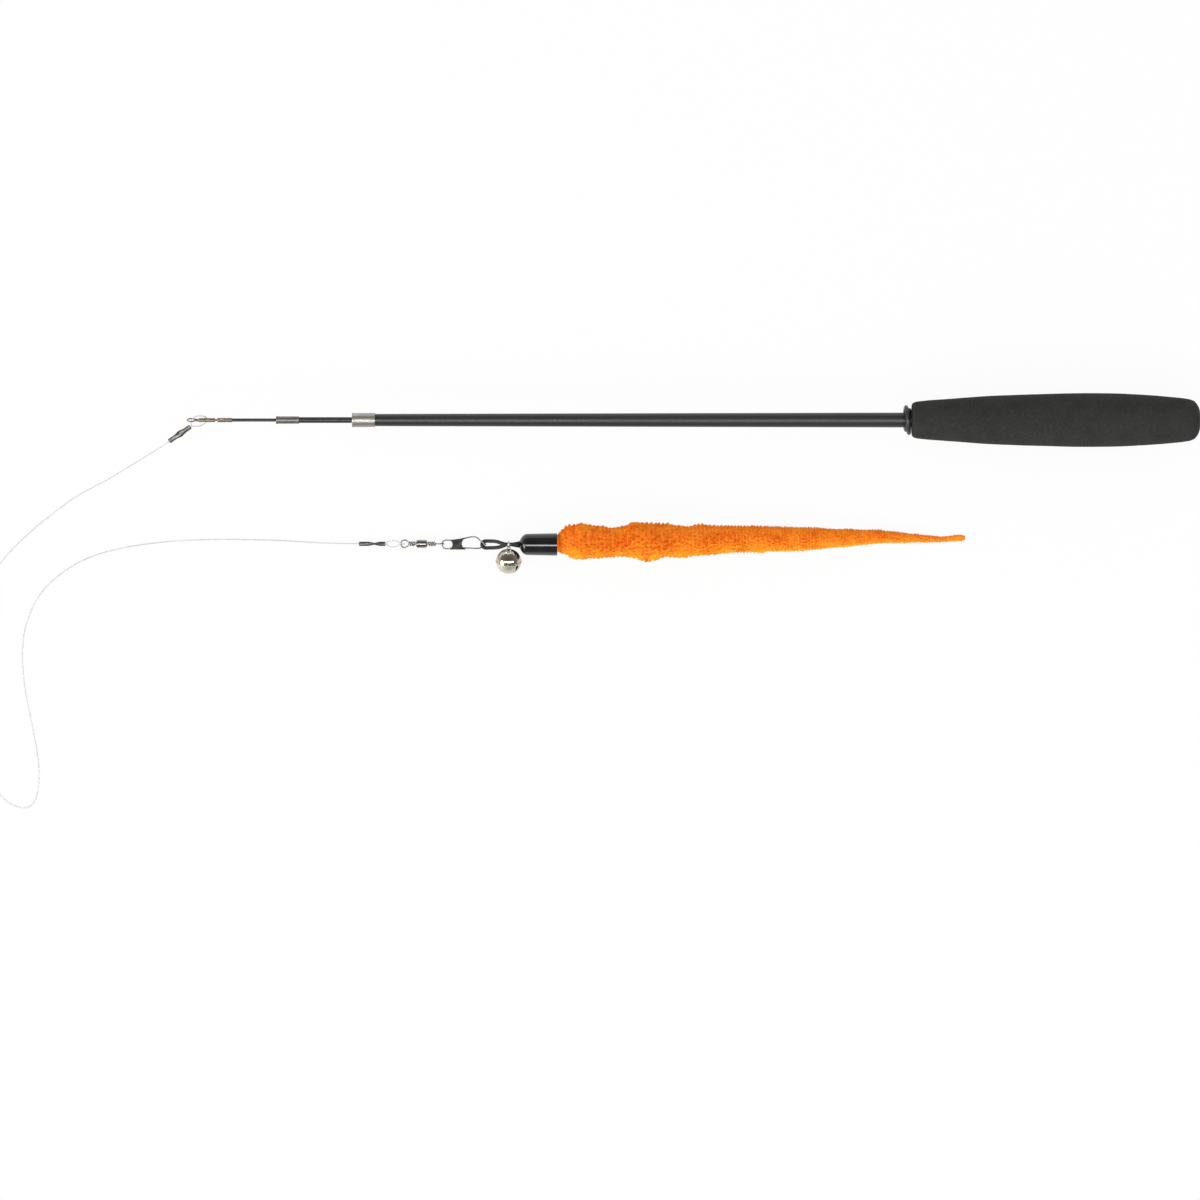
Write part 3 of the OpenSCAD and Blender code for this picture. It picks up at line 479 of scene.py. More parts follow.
def lofted(name, rings):
    """A closed skin over rings of points in millimetres, with both ends filled."""
    rounds, last = len(rings[0]), len(rings) - 1
    faces = [(i * rounds + k, (i + 1) * rounds + k, (i + 1) * rounds + (k + 1) % rounds, i * rounds + (k + 1) % rounds)
             for i in range(last) for k in range(rounds)]
    faces += [tuple(range(rounds)), tuple(last * rounds + k for k in reversed(range(rounds)))]
    piece = from_points(name, [p * MM for ring in rings for p in ring], faces)
    face_outwards(piece)
    return piece


def mark(piece, name, values):
    """Gives each point of a mesh a value that its finish reads."""
    piece.data.attributes.new(name, "FLOAT", "POINT").data.foreach_set("value", values)


def eased(profile, radius, closed=True, steps=3):
    """A profile whose corners are rounded by up to radius, in millimetres."""
    out = []
    count = len(profile)
    for i, corner in enumerate(profile):
        here = Vector(corner)
        if not closed and i in (0, count - 1):
            out.append(corner)
            continue
        before, after = Vector(profile[i - 1]), Vector(profile[(i + 1) % count])
        back, ahead = before - here, after - here
        if back.length < 1e-6 or ahead.length < 1e-6 or back.angle(ahead) > math.radians(162):
            out.append(corner)
            continue
        cut = min(radius, back.length * 0.45, ahead.length * 0.45)
        start, end = here + back.normalized() * cut, here + ahead.normalized() * cut
        for k in range(steps + 1):
            t = k / steps
            out.append(tuple(start * (1 - t) ** 2 + here * 2 * t * (1 - t) + end * t ** 2))
    return out


def start_point(x, y, z):
    """A mesh of one point, in millimetres, left open to draw from."""
    bpy.ops.mesh.primitive_plane_add(size=0.01 * MM, location=mm(x, y, z))
    piece = bpy.context.active_object
    place_in_mesh(piece)
    open_mesh(piece)
    bpy.ops.mesh.merge(type="CENTER")
    return piece


def draw_through(places):
    """Extrudes what is selected from each of these places to the next."""
    for here, there in zip(places, places[1:]):
        way = mm(*(b - a for a, b in zip(here, there)))
        bpy.ops.mesh.extrude_region_move(TRANSFORM_OT_translate={"value": way})


def turned(profile, place, steps=64, closed=True):
    """Spins a profile of (x, radius) pairs, in millimetres, about +X, then puts it in place."""
    outline = [(x, 0, r) for x, r in profile + (profile[:1] if closed else [])]
    piece = start_point(*outline[0])
    draw_through(outline)
    bpy.ops.mesh.select_all(action="SELECT")
    bpy.ops.mesh.remove_doubles(threshold=SEAM)
    bpy.ops.mesh.select_all(action="SELECT")
    bpy.ops.mesh.spin(steps=steps, angle=math.tau, center=(0, 0, 0), axis=(1, 0, 0))
    close_mesh()
    face_outwards(piece, merge=SPIN_SEAM)
    piece.matrix_world = place
    return piece


def turned_pin(profile, ease, place, steps=32):
    """A solid pin whose profile starts and ends on its axis."""
    return turned(eased(profile, ease, closed=False), place, steps=steps, closed=False)


def on_wand(x=0.0):
    return at(x, WAND_Y, WAND_Z)


def on_lure(x):
    return at(x, LURE_Y, LURE_Z)


def joined(*pieces):
    """Several meshes joined into the first."""
    pick(*pieces)
    bpy.ops.object.join()
    return bpy.context.view_layer.objects.active


def cut_away(piece, cutter):
    """Cuts one solid out of another and removes the cutter."""
    bpy.context.view_layer.update()
    modified(piece, "BOOLEAN", operation="DIFFERENCE", solver="EXACT", object=cutter)
    bpy.data.objects.remove(cutter)


def wraps(x, length, outer_d, wire_d, place_y, place_z, turns):
    """Wire wound round a shank along +X from x."""
    steps, r = int(turns * 12), (outer_d - wire_d) / 2
    route = []
    for i in range(steps + 1):
        t = i / steps
        a = math.tau * turns * t
        route.append((x + wire_d / 2 + (length - wire_d) * t, place_y + r * math.cos(a), place_z + r * math.sin(a)))
    return wire("wraps", route, wire_d, sides=3, steps=2)


# ---- Wand


def tube_r(x):
    """Radius of the tapered outer tube: 2.3 in front, 2.8 at its rear 201.6 further on."""
    return 2.3 + 0.5 * (x - TUBE_X) / 201.6


# The grip from its front rim to its butt: place and radius, in mm
GRIP_PROFILE = [
    (-0.35, 5.0), (-0.3, 5.7), (-0.05, 6.25), (0.5, 6.65), (1.6, 6.98), (6, 7.46), (10.5, 7.78), (15, 8.12),
    (19.5, 8.46), (24, 8.78), (28.6, 9.08), (33.2, 9.3), (37.8, 9.46), (42, 9.62), (46.6, 9.76), (51, 9.88),
    (55.6, 10.01), (60, 10.1), (64.7, 10.15), (69, 10.14), (73.6, 10.08), (78, 9.98), (82.7, 9.78), (87.2, 9.52),
    (91.7, 9.2), (96.2, 8.8), (100.8, 8.36), (104, 7.88), (105.7, 7.2), (106.7, 6.1), (107.35, 4.9), (107.7, 3.9),
    (107.8, 2.84), (107.8, 0)]


def foam_grip():
    """The grip: a turned foam body with a worked, slightly uneven skin and a flat, closed butt."""
    bore, end = tube_r(GRIP_X) + BORE_GAP, TUBE_END_X - GRIP_X + PLUG_ROOM
    profile = [(-0.35, bore)] + GRIP_PROFILE + [(end, 0), (end, tube_r(TUBE_END_X) + BORE_GAP)]
    grip = turned(profile, on_wand(GRIP_X), steps=96)
    modified(grip, "SUBSURF", subdivision_type="SIMPLE", levels=1, render_levels=1)
    broad, fine, sunk = 0.055, 0.03, 0.05
    for v in grip.data.vertices:
        r = math.hypot(v.co.y, v.co.z)
        if r > bore * MM * 1.25:
            uneven = broad * noise.noise(v.co * 90.0) + fine * noise.noise(v.co * 420.0)
            share = 1 + (uneven - sunk) * MM / r
            v.co.y *= share
            v.co.z *= share
    settle(grip, "foam_grip", "handle", "foam", ["grip_foam"], angle=40.0)


def keeper_band():
    """One rubber band wound twice round the tube, which crosses itself on top."""
    strand, half, bite = 1.5, 0.78, 0.02
    middle_x, crossing = GRIP_X - 1.86, math.radians(100)
    middle_r = tube_r(middle_x) + strand / 2 + half - bite
    route = []
    for i in range(72):
        a = math.radians(10 * i)
        lean = (a - crossing) / 2
        r = middle_r + half * math.cos(lean)
        route.append((middle_x + half * math.sin(lean), WAND_Y + r * math.cos(a), WAND_Z + r * math.sin(a)))
    lay_wire("keeper_band", "handle", "keeper_rubber", ["keeper_ring_rear", "keeper_ring_front"], route, strand,
             steps=2, closed=True)


def ferrule(name, x, r, guide_r, seat_r, body, slot, replaced):
    """A turned ferrule with a rolled front lip, two shallow grooves and an eased rear edge."""
    outline = [(0.0, r - 0.02), (0.1, r + 0.09), (0.3, r + 0.12), (0.6, r + 0.09), (0.85, r), (0.95, r - 0.05),
               (1.1, r), (7.3, r), (7.4, r - 0.05), (7.55, r), (8.6, r), (8.6, seat_r), (FERRULE_GUIDE, seat_r),
               (FERRULE_GUIDE, guide_r), (0.0, guide_r)]
    settle(turned(eased(outline, 0.06, steps=2), on_wand(x), steps=72), name, body, slot, [replaced])


def outer_tube():
    """The tapered black tube, open in front, with eased rims, and its ferrule."""
    start, end = OUTER_FERRULE_X + FERRULE_GUIDE, TUBE_END_X
    profile = [(start, tube_r(start)), (end, tube_r(end)), (end, OUTER_BORE_R), (start, OUTER_BORE_R)]
    settle(turned(eased(profile, 0.15), on_wand()), "outer_tube_varnished", "handle", "tube_black",
           ["outer_tube"])
    ferrule("satin_ferrule", OUTER_FERRULE_X, 2.65, 1.15, tube_r(TUBE_X) + 0.02, "handle", "ferrule_nickel",
            "outer_ferrule")


def inner_sections():
    """The middle tube, its ferrule and the tip rod."""
    start, end = MIDDLE_FERRULE_X + FERRULE_GUIDE, MIDDLE_END_X
    profile = [(start, MIDDLE_R), (end, MIDDLE_R), (end, MIDDLE_BORE_R), (start, MIDDLE_BORE_R)]
    settle(turned(eased(profile, 0.06), on_wand(), steps=48), "middle_tube_varnished", "middle_section",
           "tube_black", ["middle_tube"])
    ferrule("dark_ferrule", MIDDLE_FERRULE_X, 1.375, 0.65, 1.12, "middle_section", "ferrule_dark",
            "middle_ferrule")
    start, end = SLEEVE_X + 2, ROD_END_X
    rod = turned_pin([(start, 0), (start, ROD_R), (end, ROD_R), (end, 0)], 0.08, on_wand(), steps=40)
    settle(rod, "tip_rod_varnished", "tip_section", "tube_black", ["tip_rod"])


def tip_fittings():
    """The crimped sleeve, the turning barrel, its two pins and the wire eye."""
    sleeve = turned(eased([(0, 0.37), (0, SLEEVE_R), (SLEEVE_LEN, SLEEVE_R), (SLEEVE_LEN, 0.62), (2, 0.62),
                           (2, 0.37)], 0.07), on_wand(SLEEVE_X), steps=48)
    dimple_r, dimple_depth = 1.2, 0.14
    reach = SLEEVE_R - dimple_depth + dimple_r
    for quarter in range(4):
        x = SLEEVE_X + SLEEVE_LEN * (0.62 if quarter % 2 else 0.3)
        a = math.radians(90 * quarter)
        bpy.ops.mesh.primitive_uv_sphere_add(
            segments=32, ring_count=16, radius=dimple_r * MM,
            location=mm(x, WAND_Y + reach * math.sin(a), WAND_Z + reach * math.cos(a)))
        cut_away(sleeve, bpy.context.active_object)
    settle(sleeve, "crimped_sleeve", "tip_section", "tip_metal", ["tip_sleeve"])

    barrel = turned(eased([(0, 0.4), (0, 0.75), (6.2, 0.75), (6.2, 0.4), (5.6, 0.4), (5.6, 0.58), (0.6, 0.58),
                           (0.6, 0.4)], 0.12), on_wand(BARREL_X), steps=48)
    settle(barrel, "tip_barrel_turned", "tip_turner", "tip_metal", ["tip_barrel"])

    pin = turned_pin([(-180.45, 0), (-180.45, 0.525), (-179.95, 0.525), (-179.95, 0.35), (-176.9, 0.35),
                      (-176.9, 0)], 0.08, on_wand())
    settle(pin, "tip_pin_turned", "tip_section", "tip_metal", ["tip_pin"])

    ring_d, ring_wire_d, ring_lean = 3.3, 0.5, math.radians(115)
    bpy.ops.mesh.primitive_torus_add(major_radius=(ring_d - ring_wire_d) / 2 * MM, minor_radius=ring_wire_d / 2 * MM,
                                     major_segments=64, minor_segments=16)
    ring = bpy.context.active_object
    ring.matrix_world = on_wand(TIP_X + ring_d / 2) @ Matrix.Rotation(ring_lean, 4, "X")
    place_in_mesh(ring)
    shank = turned_pin([(-187.1, 0), (-187.1, 0.3), (-184.85, 0.35), (-184.85, 0.525), (-184.35, 0.525),
                        (-184.35, 0)], 0.08, on_wand())
    place_in_mesh(shank)
    twist = wraps(-187.15, 1.6, 1.15, 0.42, WAND_Y, WAND_Z, turns=2.6)
    settle(joined(ring, shank, twist), "tip_eye_wire", "line", "tip_metal", ["tip_eye"], angle=60.0)


# ---- Line and crimps


def clear_line():
    """The free line, and its loops through the tip's eye and the swivel's ring."""
    loops = [lay_wire(name, "line", "line_clear", [node], route, LINE_D)
             for name, route, node in (("tip_loop", TIP_LOOP, "line_loop_tip"),
                                       ("lure_loop", LURE_LOOP, "line_loop_lure"))]
    crimps = [crimp("tip_crimp", CRIMP_TIP_IN, CRIMP_TIP_OUT, True, 0.48, "crimp_tip"),
              crimp("lure_crimp", CRIMP_LURE_OUT, CRIMP_LURE_IN, False, 0.58, "crimp_lure")]
    line = smooth_curve("clear_line", LINE_ROUTE, LINE_D, steps=12)
    dress(line, FINISHES["line_clear"])
    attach(line, "line")
    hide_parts("line_main")


def crimp(name, start, end, on_edge, squeezed, node):
    """A double-barrel crimp sleeve: oval at its ends, squeezed flat near its middle, with open mouths."""
    oval, flattened = (0.97, 0.9), (0.45, 1.24)
    groove_depth, dent_depth, dent_share, squeeze_share = 0.17, 0.05, 0.035, 0.5
    a, b = Vector(start), Vector(end)
    length, steps = (b - a).length, 40
    bpy.ops.mesh.primitive_circle_add(vertices=48, radius=MM, fill_type="NGON", rotation=(0, math.pi / 2, 0))
    piece = bpy.context.active_object
    place_in_mesh(piece)
    open_mesh(piece)
    for _ in range(steps):
        bpy.ops.mesh.extrude_region_move(TRANSFORM_OT_translate={"value": (length * MM / steps, 0, 0)})
    bpy.ops.mesh.select_all(action="SELECT")
    bpy.ops.mesh.normals_make_consistent(inside=False)
    bpy.ops.mesh.select_mode(type="FACE")
    bpy.ops.mesh.select_all(action="DESELECT")
    close_mesh()
    for face in piece.data.polygons:
        face.select = abs(face.normal.x) > 0.9
    bpy.ops.object.mode_set(mode="EDIT")
    bpy.ops.mesh.inset(thickness=0.3 * MM, depth=0.0, use_individual=True)
    bpy.ops.mesh.extrude_region_shrink_fatten(TRANSFORM_OT_shrink_fatten={"value": -0.35 * MM})
    bpy.ops.mesh.select_mode(type="VERT")
    close_mesh()
    for v in piece.data.vertices:
        u = v.co.x / MM / length
        away = (u - squeezed) / squeeze_share
        p = (1 + math.cos(math.tau * away)) / 2 if abs(away) < 0.5 else 0.0
        half_w, half_h = (free + (pressed - free) * p for free, pressed in zip(oval, flattened))
        groove = 1 - groove_depth * (1 - p) * abs(v.co.y / MM) ** 8
        dent = 1 - dent_depth * math.exp(-((u - squeezed) / dent_share) ** 2)
        v.co.y *= half_w * groove * dent
        v.co.z *= half_h
    along = (b - a).normalized()
    flat = along.cross(Vector((0, 0, 1))).normalized()
    side = along.cross(flat) if on_edge else flat
    piece.matrix_world = at(*a) @ Matrix((along, side, along.cross(side))).transposed().to_4x4()
    return settle(piece, name, "line", "crimp_metal", [node], angle=35.0)


# ---- Swivel and snap


def swivel_ring(ring_x, way, level):
    """A swivel's eye: a wire ring drawn out and narrowed a little towards its wound neck."""
    drawn, narrowed = 0.12, 0.1
    route = []
    for c, s in on_circle(range(0, 360, 20)):
        neck = max(0.0, c)
        across = RING_R * s * (1 - narrowed * neck)
        route.append((ring_x + way * RING_R * c * (1 + drawn * neck ** 3), LURE_Y + across * math.cos(level),
                      LURE_Z + across * math.sin(level)))
    return wire("ring", route, RING_WIRE_D, steps=4, closed=True)


def swivel():
    """The barrel swivel: two wire eyes with wound necks in a rounded barrel."""
    ends = [(1.1 * (1 - c), 0.95 + 0.55 * s) for c, s in on_circle(range(0, 91, 15))]
    outline = ([(0, 0.5)] + ends + [(2.0, 1.52), (2.2, 1.52)] + [(4.2 - x, r) for x, r in reversed(ends)]
               + [(4.2, 0.5), (3.4, 0.5), (3.4, 1.05), (0.8, 1.05), (0.8, 0.5)])
    barrel = turned(eased(outline, 0.1, steps=2), on_lure(SWIVEL_X))
    settle(barrel, "swivel_barrel_turned", "swivel", "swivel_metal", ["swivel_barrel"])
    for name, ring_x, way, length, turns, level, body, node in (
            ("swivel_line_eye_wire", LINE_RING_X, 1, 2.65, 3.0, 0.0, "line", "swivel_line_eye"),
            ("swivel_snap_eye_wire", SNAP_RING_X, -1, 3.1, 3.5, math.pi / 2, "lure", "swivel_snap_eye")):
        ring = swivel_ring(ring_x, way, level)
        edge, head = ring_x + way * (RING_R + RING_WIRE_D / 2), length + 0.85
        shank = turned_pin([(-0.2, 0), (-0.2, 0.44), (head, 0.44), (head, 0.93), (head + 0.6, 0.93),
                            (head + 0.6, 0)], 0.12, on_lure(edge) @ Matrix.Diagonal((way, 1, 1, 1)))
        place_in_mesh(shank)
        face_outwards(shank)
        start = edge if way > 0 else edge - length + 0.05
        wound = wraps(start - 0.12 * way, length - 0.1, 1.9, RING_WIRE_D, LURE_Y, LURE_Z, turns)
        settle(joined(ring, shank, wound), name, body, "swivel_metal", [node], angle=60.0)


# The snap's wire and its arm: shares of the snap's length, of its width and of its hook's rise
SNAP_WIRE_SHARES = [
    (0.281, 0.4, 0), (0.177, 0.41, 0), (0.073, 0.4, 0), (0.018, 0.25, 0), (0, 0.03, 0), (0.003, -0.2, 0),
    (0.028, -0.42, 0), (0.073, -0.54, 0), (0.125, -0.57, 0), (0.229, -0.49, 0), (0.597, -0.47, 0), (0.88, -0.52, 0),
    (0.972, -0.49, -0.4), (1.042, -0.36, -0.85), (1.09, -0.2, -1), (1.126, -0.09, -0.62), (1.134, -0.06, 0),
    (1.126, -0.03, 0.62), (1.09, 0.06, 1), (1.042, 0.2, 0.95), (1, 0.34, 0.6)]
SNAP_GATE_SHARES = [
    (-0.015, 0.379, 0.55), (-0.055, 0.56, 0.3), (-0.1, 0.72, 0.1), (-0.15, 0.8, 0), (-0.21, 0.8, 0),
    (-0.42, 0.63, 0), (-0.5, 0.55, 0), (-0.57, 0.46, 0)]


def snap_places(x, shares):
    return [(x + s * SNAP_LEN, LURE_Y + t * SNAP_W, LURE_Z + h * HOOK_RISE) for s, t, h in shares]


def snap():
    """The snap: a bent wire with its hooked nose, a folded plate and the springy arm."""
    lay_wire("snap_bow", "lure", "snap_steel", ["snap_wire"], snap_places(SNAP_X, SNAP_WIRE_SHARES), SNAP_WIRE_D)
    lay_wire("snap_arm", "gate", "snap_steel", ["snap_gate"], snap_places(PIVOT_X, SNAP_GATE_SHARES), SNAP_WIRE_D)

    sheet, half, fold = 0.22, 0.41, -2.178 + 0.52
    left, right, top = 0.2 * SNAP_LEN, 0.61 * SNAP_LEN, 0.7 * SNAP_W
    hairpin = [(top, half)] + [(fold - half * s, half * c) for c, s in on_circle(range(0, 181, 20))] + [(top, -half)]
    plate = start_point(left, top, half)
    draw_through([(left, y, z) for y, z in hairpin])
    bpy.ops.mesh.select_all(action="SELECT")
    draw_through([(left, 0, 0), (right, 0, 0)])
    close_mesh()
    modified(plate, "SOLIDIFY", thickness=sheet * MM, offset=0.0)
    open_mesh(plate)
    bpy.ops.mesh.bisect(plane_co=mm(left, 0.44 * SNAP_W, 0), plane_no=(-0.128, 1, 0), use_fill=True, clear_outer=True)
    close_mesh()
    face_outwards(plate)
    for x, y, r in ((0.13, -0.07, 0.135), (0.66, 0.02, 0.15)):
        bpy.ops.mesh.primitive_cylinder_add(vertices=96, radius=r * SNAP_LEN * MM, depth=4 * MM,
                                            location=mm(x * SNAP_LEN, y * SNAP_W, 0))
        cut_away(plate, bpy.context.active_object)
    plate.matrix_world = on_lure(SNAP_X)
    settle(plate, "snap_plate_folded", "lure", "snap_dark", ["snap_plate"])


# ---- Cord loop, bell and cap


def black_cord():
    """The doubled black cord: level round the snap, then turned on edge where the bell's link holds it."""
    # Share of the way to the cap, share of the rise, roll in degrees and share of the bend's spread
    rows = [(0, 0, 0, 1), (0.14, 0.1, 4, 1), (0.27, 0.34, 14, 0.97), (0.38, 0.62, 32, 0.85), (0.5, 0.86, 60, 0.6),
            (0.61, 0.98, 84, 0.1), (0.69, 1, 88, 0), (0.77, 0.99, 88, 0), (0.86, 0.88, 74, 0), (0.95, 0.74, 55, 0)]
    length, inside = CAP_X - BEND_X, 2.6
    middle = [Vector((BEND_X + s * length, CORD_Y, LURE_Z + (CORD_ARCH - LURE_Z) * h)) for s, h, _, _ in rows]
    middle += [Vector((CAP_X, CORD_Y, CAP_Z)), Vector((CAP_X + inside, CORD_Y, CAP_Z))]
    rolls = [math.radians(roll) for _, _, roll, _ in rows] + [math.radians(45)] * 2
    halves = [CORD_STACK + (BEND_R - CORD_STACK) * spread for _, _, _, spread in rows] + [CORD_STACK] * 2

    def strand(i, way):
        t = (middle[min(i + 1, len(middle) - 1)] - middle[max(i - 1, 0)]).normalized()
        s = Vector((0, 0, 1)).cross(t).normalized()
        u = t.cross(s)
        return tuple(middle[i] + way * halves[i] * (math.cos(rolls[i]) * s + math.sin(rolls[i]) * u))

    bend = [(BEND_X + BEND_R * c, CORD_Y + BEND_R * s, LURE_Z)
            for c, s in on_circle((112.5, 135, 157.5, 180, 202.5, 225, 247.5))]
    last = len(middle) - 1
    route = [strand(i, 1) for i in range(last, -1, -1)] + bend + [strand(i, -1) for i in range(last + 1)]
    lay_wire("black_cord_loop", "lure", "cord_black", ["lure_cord"], route, CORD_D, sides=6, steps=4)


# Half width of the bell's wire loop at shares of its length
SHANK_PEAR = ((0.0, 0.22), (0.08, 0.3), (0.3, 0.36), (0.52, 0.64), (0.72, 0.88), (0.87, 0.84), (0.97, 0.52),
              (1.0, 0.22))


def bell():
    """The bell: two drawn shells that meet in a bead, and a sound slot with a hole at each of its ends."""
    tilt = math.atan2(PIVOT_Z - BELL_R, BELL_DROP)
    place = at(LINK_X, LINK_Y - BELL_DROP, BELL_R) @ Matrix.Rotation(tilt - math.pi / 2, 4, "X")
    upright = place @ Matrix.Rotation(-math.pi / 2, 4, "Y")
    r, hollow = BELL_R, BELL_R - BELL_WALL
    outer = [(r * s, r * c) for c, s in on_circle(range(4, 82, 3))]
    inner = [(hollow * s, hollow * c) for c, s in on_circle(range(76, 0, -4))]
    rim = [(0.0, hollow), (0.0, r + 0.1), (0.05, r + 0.15), (0.28, r + 0.14), (0.36, r + 0.02)]
    crown = turned(rim + outer[1:-3] + [(4.66, 0.9), (4.26, 0.9)] + inner, upright, steps=96)
    settle(crown, "bell_crown_polished", "bell", "bell_nickel", ["bell_crown"], angle=40.0)
    closing = [(r * s, r * c) for c, s in on_circle((84, 87))] + [(r, 0), (hollow, 0)]
    bowl = turned([(-x, y) for x, y in rim + outer[1:] + closing + inner], upright, steps=96)

    slot_turn, slot_top, slot_depth, slot_wide, hole_r = math.radians(-46), -1.2, 6, 0.8, 0.75
    across = place @ Matrix.Rotation(slot_turn, 4, "Z")
    bpy.ops.mesh.primitive_cube_add(size=MM)
    slot = bpy.context.active_object
    size = Matrix.Diagonal((4 * r, slot_wide, slot_depth, 1))
    slot.matrix_world = across @ at(0, 0, slot_top - slot_depth / 2) @ size
    cut_away(bowl, slot)
    for end in (-1, 1):
        bpy.ops.mesh.primitive_cylinder_add(vertices=48, radius=hole_r * MM, depth=6 * MM)
        drill = bpy.context.active_object
        drill.matrix_world = across @ at(end * 5, 0, slot_top) @ Matrix.Rotation(math.radians(90), 4, "Y")
        cut_away(bowl, drill)
    settle(bowl, "bell_bowl_polished", "bell", "bell_nickel", ["bell_bowl"], angle=40.0, material=BOWL_PAINTED_REFLECTION_FINISH)


def bell_wires():
    """The bell's pear-shaped loop, which leans over its crown, and the oval link that holds it on the cord."""
    arch = 0.3
    top, foot = Vector((LINK_X, LINK_Y, PIVOT_Z)), Vector((LINK_X, LINK_Y - BELL_DROP + 2.75, 8.72))
    spine = [(w, top.lerp(foot, t) + Vector((0, 0, arch * math.sin(math.pi * t)))) for t, w in SHANK_PEAR]
    route = [(LINK_X - w, p.y, p.z) for w, p in spine] + [(LINK_X + w, p.y, p.z) for w, p in reversed(spine)]
    lay_wire("bell_shank_wire", "bell", "bell_wire", ["bell_shank"], route, SHANK_WIRE_D, closed=True)

    half = LINK_HALF + LINK_WIRE_D / 2
    low = CORD_ARCH - CORD_STACK - CORD_D / 2 - LINK_GAP + LINK_HALF
    high = PIVOT_Z + SHANK_WIRE_D / 2 + LINK_GAP - LINK_HALF
    oval = [(LINK_X, LINK_Y + way * half * c, level + way * half * s)
            for way, level in ((1, high), (-1, low)) for c, s in on_circle(range(0, 181, 20))]
    lay_wire("bell_link_wire", "lure", "bell_wire", ["bell_link"], oval, LINK_WIRE_D, steps=4, closed=True)


def end_cap():
    """The glossy cap: a domed nose with the cord's hole, a slight flare to its mouth."""
    dome = [(3.2 * (1 - c), 4.05 * s) for c, s in on_circle(range(0, 91, 5))]
    dome = [(x, r) for x, r in dome if r > 1.7]
    outline = ([(2.6, 1.5), (0.35, 1.5), (0.12, 1.6)] + dome
               + [(14.1, 4.245), (CAP_LEN, 4.18), (CAP_LEN, 3.7), (14.1, 3.6), (2.6, 3.6)])
    cap = turned(eased(outline, 0.1, steps=2), at(CAP_X, CORD_Y, CAP_Z), steps=96)
    settle(cap, "end_cap_gloss", "lure", "cap_black", ["end_cap"], angle=38.0)


# ---- Plush worm


# Along the worm from the cap's mouth: place, half width over the pile, and the middle's sideways place, in mm
WORM_STATIONS = [
    (0.0, 3.1, -22.5), (1.2, 4.1, -22.0), (2.4, 4.9, -21.6), (4.0, 5.9, -21.6), (6.1, 6.5, -21.8), (8.8, 7.05, -21.7),
    (11.5, 6.75, -21.8), (14.2, 6.5, -22.0), (16.9, 6.35, -21.9), (19.1, 6.0, -22.1), (21.2, 5.8, -22.0),
    (23.9, 5.95, -21.8), (26.1, 6.3, -21.6), (27.7, 6.9, -21.2), (29.9, 7.1, -21.3), (33.1, 7.4, -21.9),
    (35.2, 7.15, -22.1), (38.5, 6.75, -21.75), (41.2, 6.5, -21.3), (43.9, 6.35, -21.7), (46.5, 6.4, -21.8),
    (49.2, 6.0, -21.8), (53.0, 6.2, -21.3), (56.2, 5.85, -21.3), (60.0, 5.55, -21.2), (65.4, 5.35, -21.0),
    (70.8, 5.2, -20.9), (76.1, 5.15, -21.0), (79.8, 4.9, -20.8), (83.6, 4.92, -21.0), (91.1, 4.58, -20.85),
    (98.6, 4.22, -20.75), (106.1, 3.76, -20.55), (113.6, 3.3, -20.3), (121.2, 2.78, -20.05), (128.7, 2.3, -20.25),
    (136.2, 1.9, -20.7), (143.7, 1.5, -20.95), (147.5, 1.42, -20.65), (151.2, 1.55, -20.4), (152.8, 1.4, -20.45),
    (153.6, 0.8, -20.6)]
WORM_LEN, PILE_LEN, FULL_HALF, FLATNESS = 153.6, 153.4, 7.0, 0.94

# The pile: height, depth of its roots, thickness of a tuft's root, how far it reaches to its clump's tip and how
# loosely, and the clumps' rise and shade, with a few that stray higher
PILE_STAND, ROOT_DEPTH, TUFT_R, TUFT_REACH, LOOSENESS = 0.5, 0.1, (0.09, 0.16), (0.4, 1.0), 0.2
CLUMP_RISE, CLUMP_SHADE, STRAYS, STRAY_RISE = (0.35, 0.75), (0.17, 0.35), 0.06, 1.5


def worm_at(x):
    """Half width under the pile and sideways middle of the worm at x, on a smooth line through its stations."""
    s = WORM_STATIONS
    i = next((k for k in range(len(s) - 1) if x < s[k + 1][0]), len(s) - 2)
    t = (x - s[i][0]) / (s[i + 1][0] - s[i][0])
    out = []
    for c in (1, 2):
        p0, p1, p2, p3 = (s[max(0, min(len(s) - 1, i + k))][c] for k in (-1, 0, 1, 2))
        out.append(0.5 * (2 * p1 + (p2 - p0) * t + (2 * p0 - 5 * p1 + 4 * p2 - p3) * t ** 2
                          + (3 * p1 - p0 - 3 * p2 + p3) * t ** 3))
    return max(0.35, out[0] - PILE_STAND), out[1]


def middle_height(half):
    """Height of the worm's middle over the floor on which its pile lies."""
    return half * FLATNESS + PILE_STAND * 0.45


def fold_at(place):
    """How deep a place lies in the worm's diagonal folds, from 0 to 1, fading towards the tail."""
    along, across = place.x - WORM_X, place.y - LURE_Y
    fade = max(0.0, min(1.0, (72.0 - along) / 40.0)) * 0.75 + 0.25
    drift = Vector(((along + 0.7 * across) * 0.13, (across - 0.35 * along) * 0.3, place.z * 0.24))
    return max(0.0, 1 - 3.6 * abs(noise.noise(drift))) ** 2 * fade


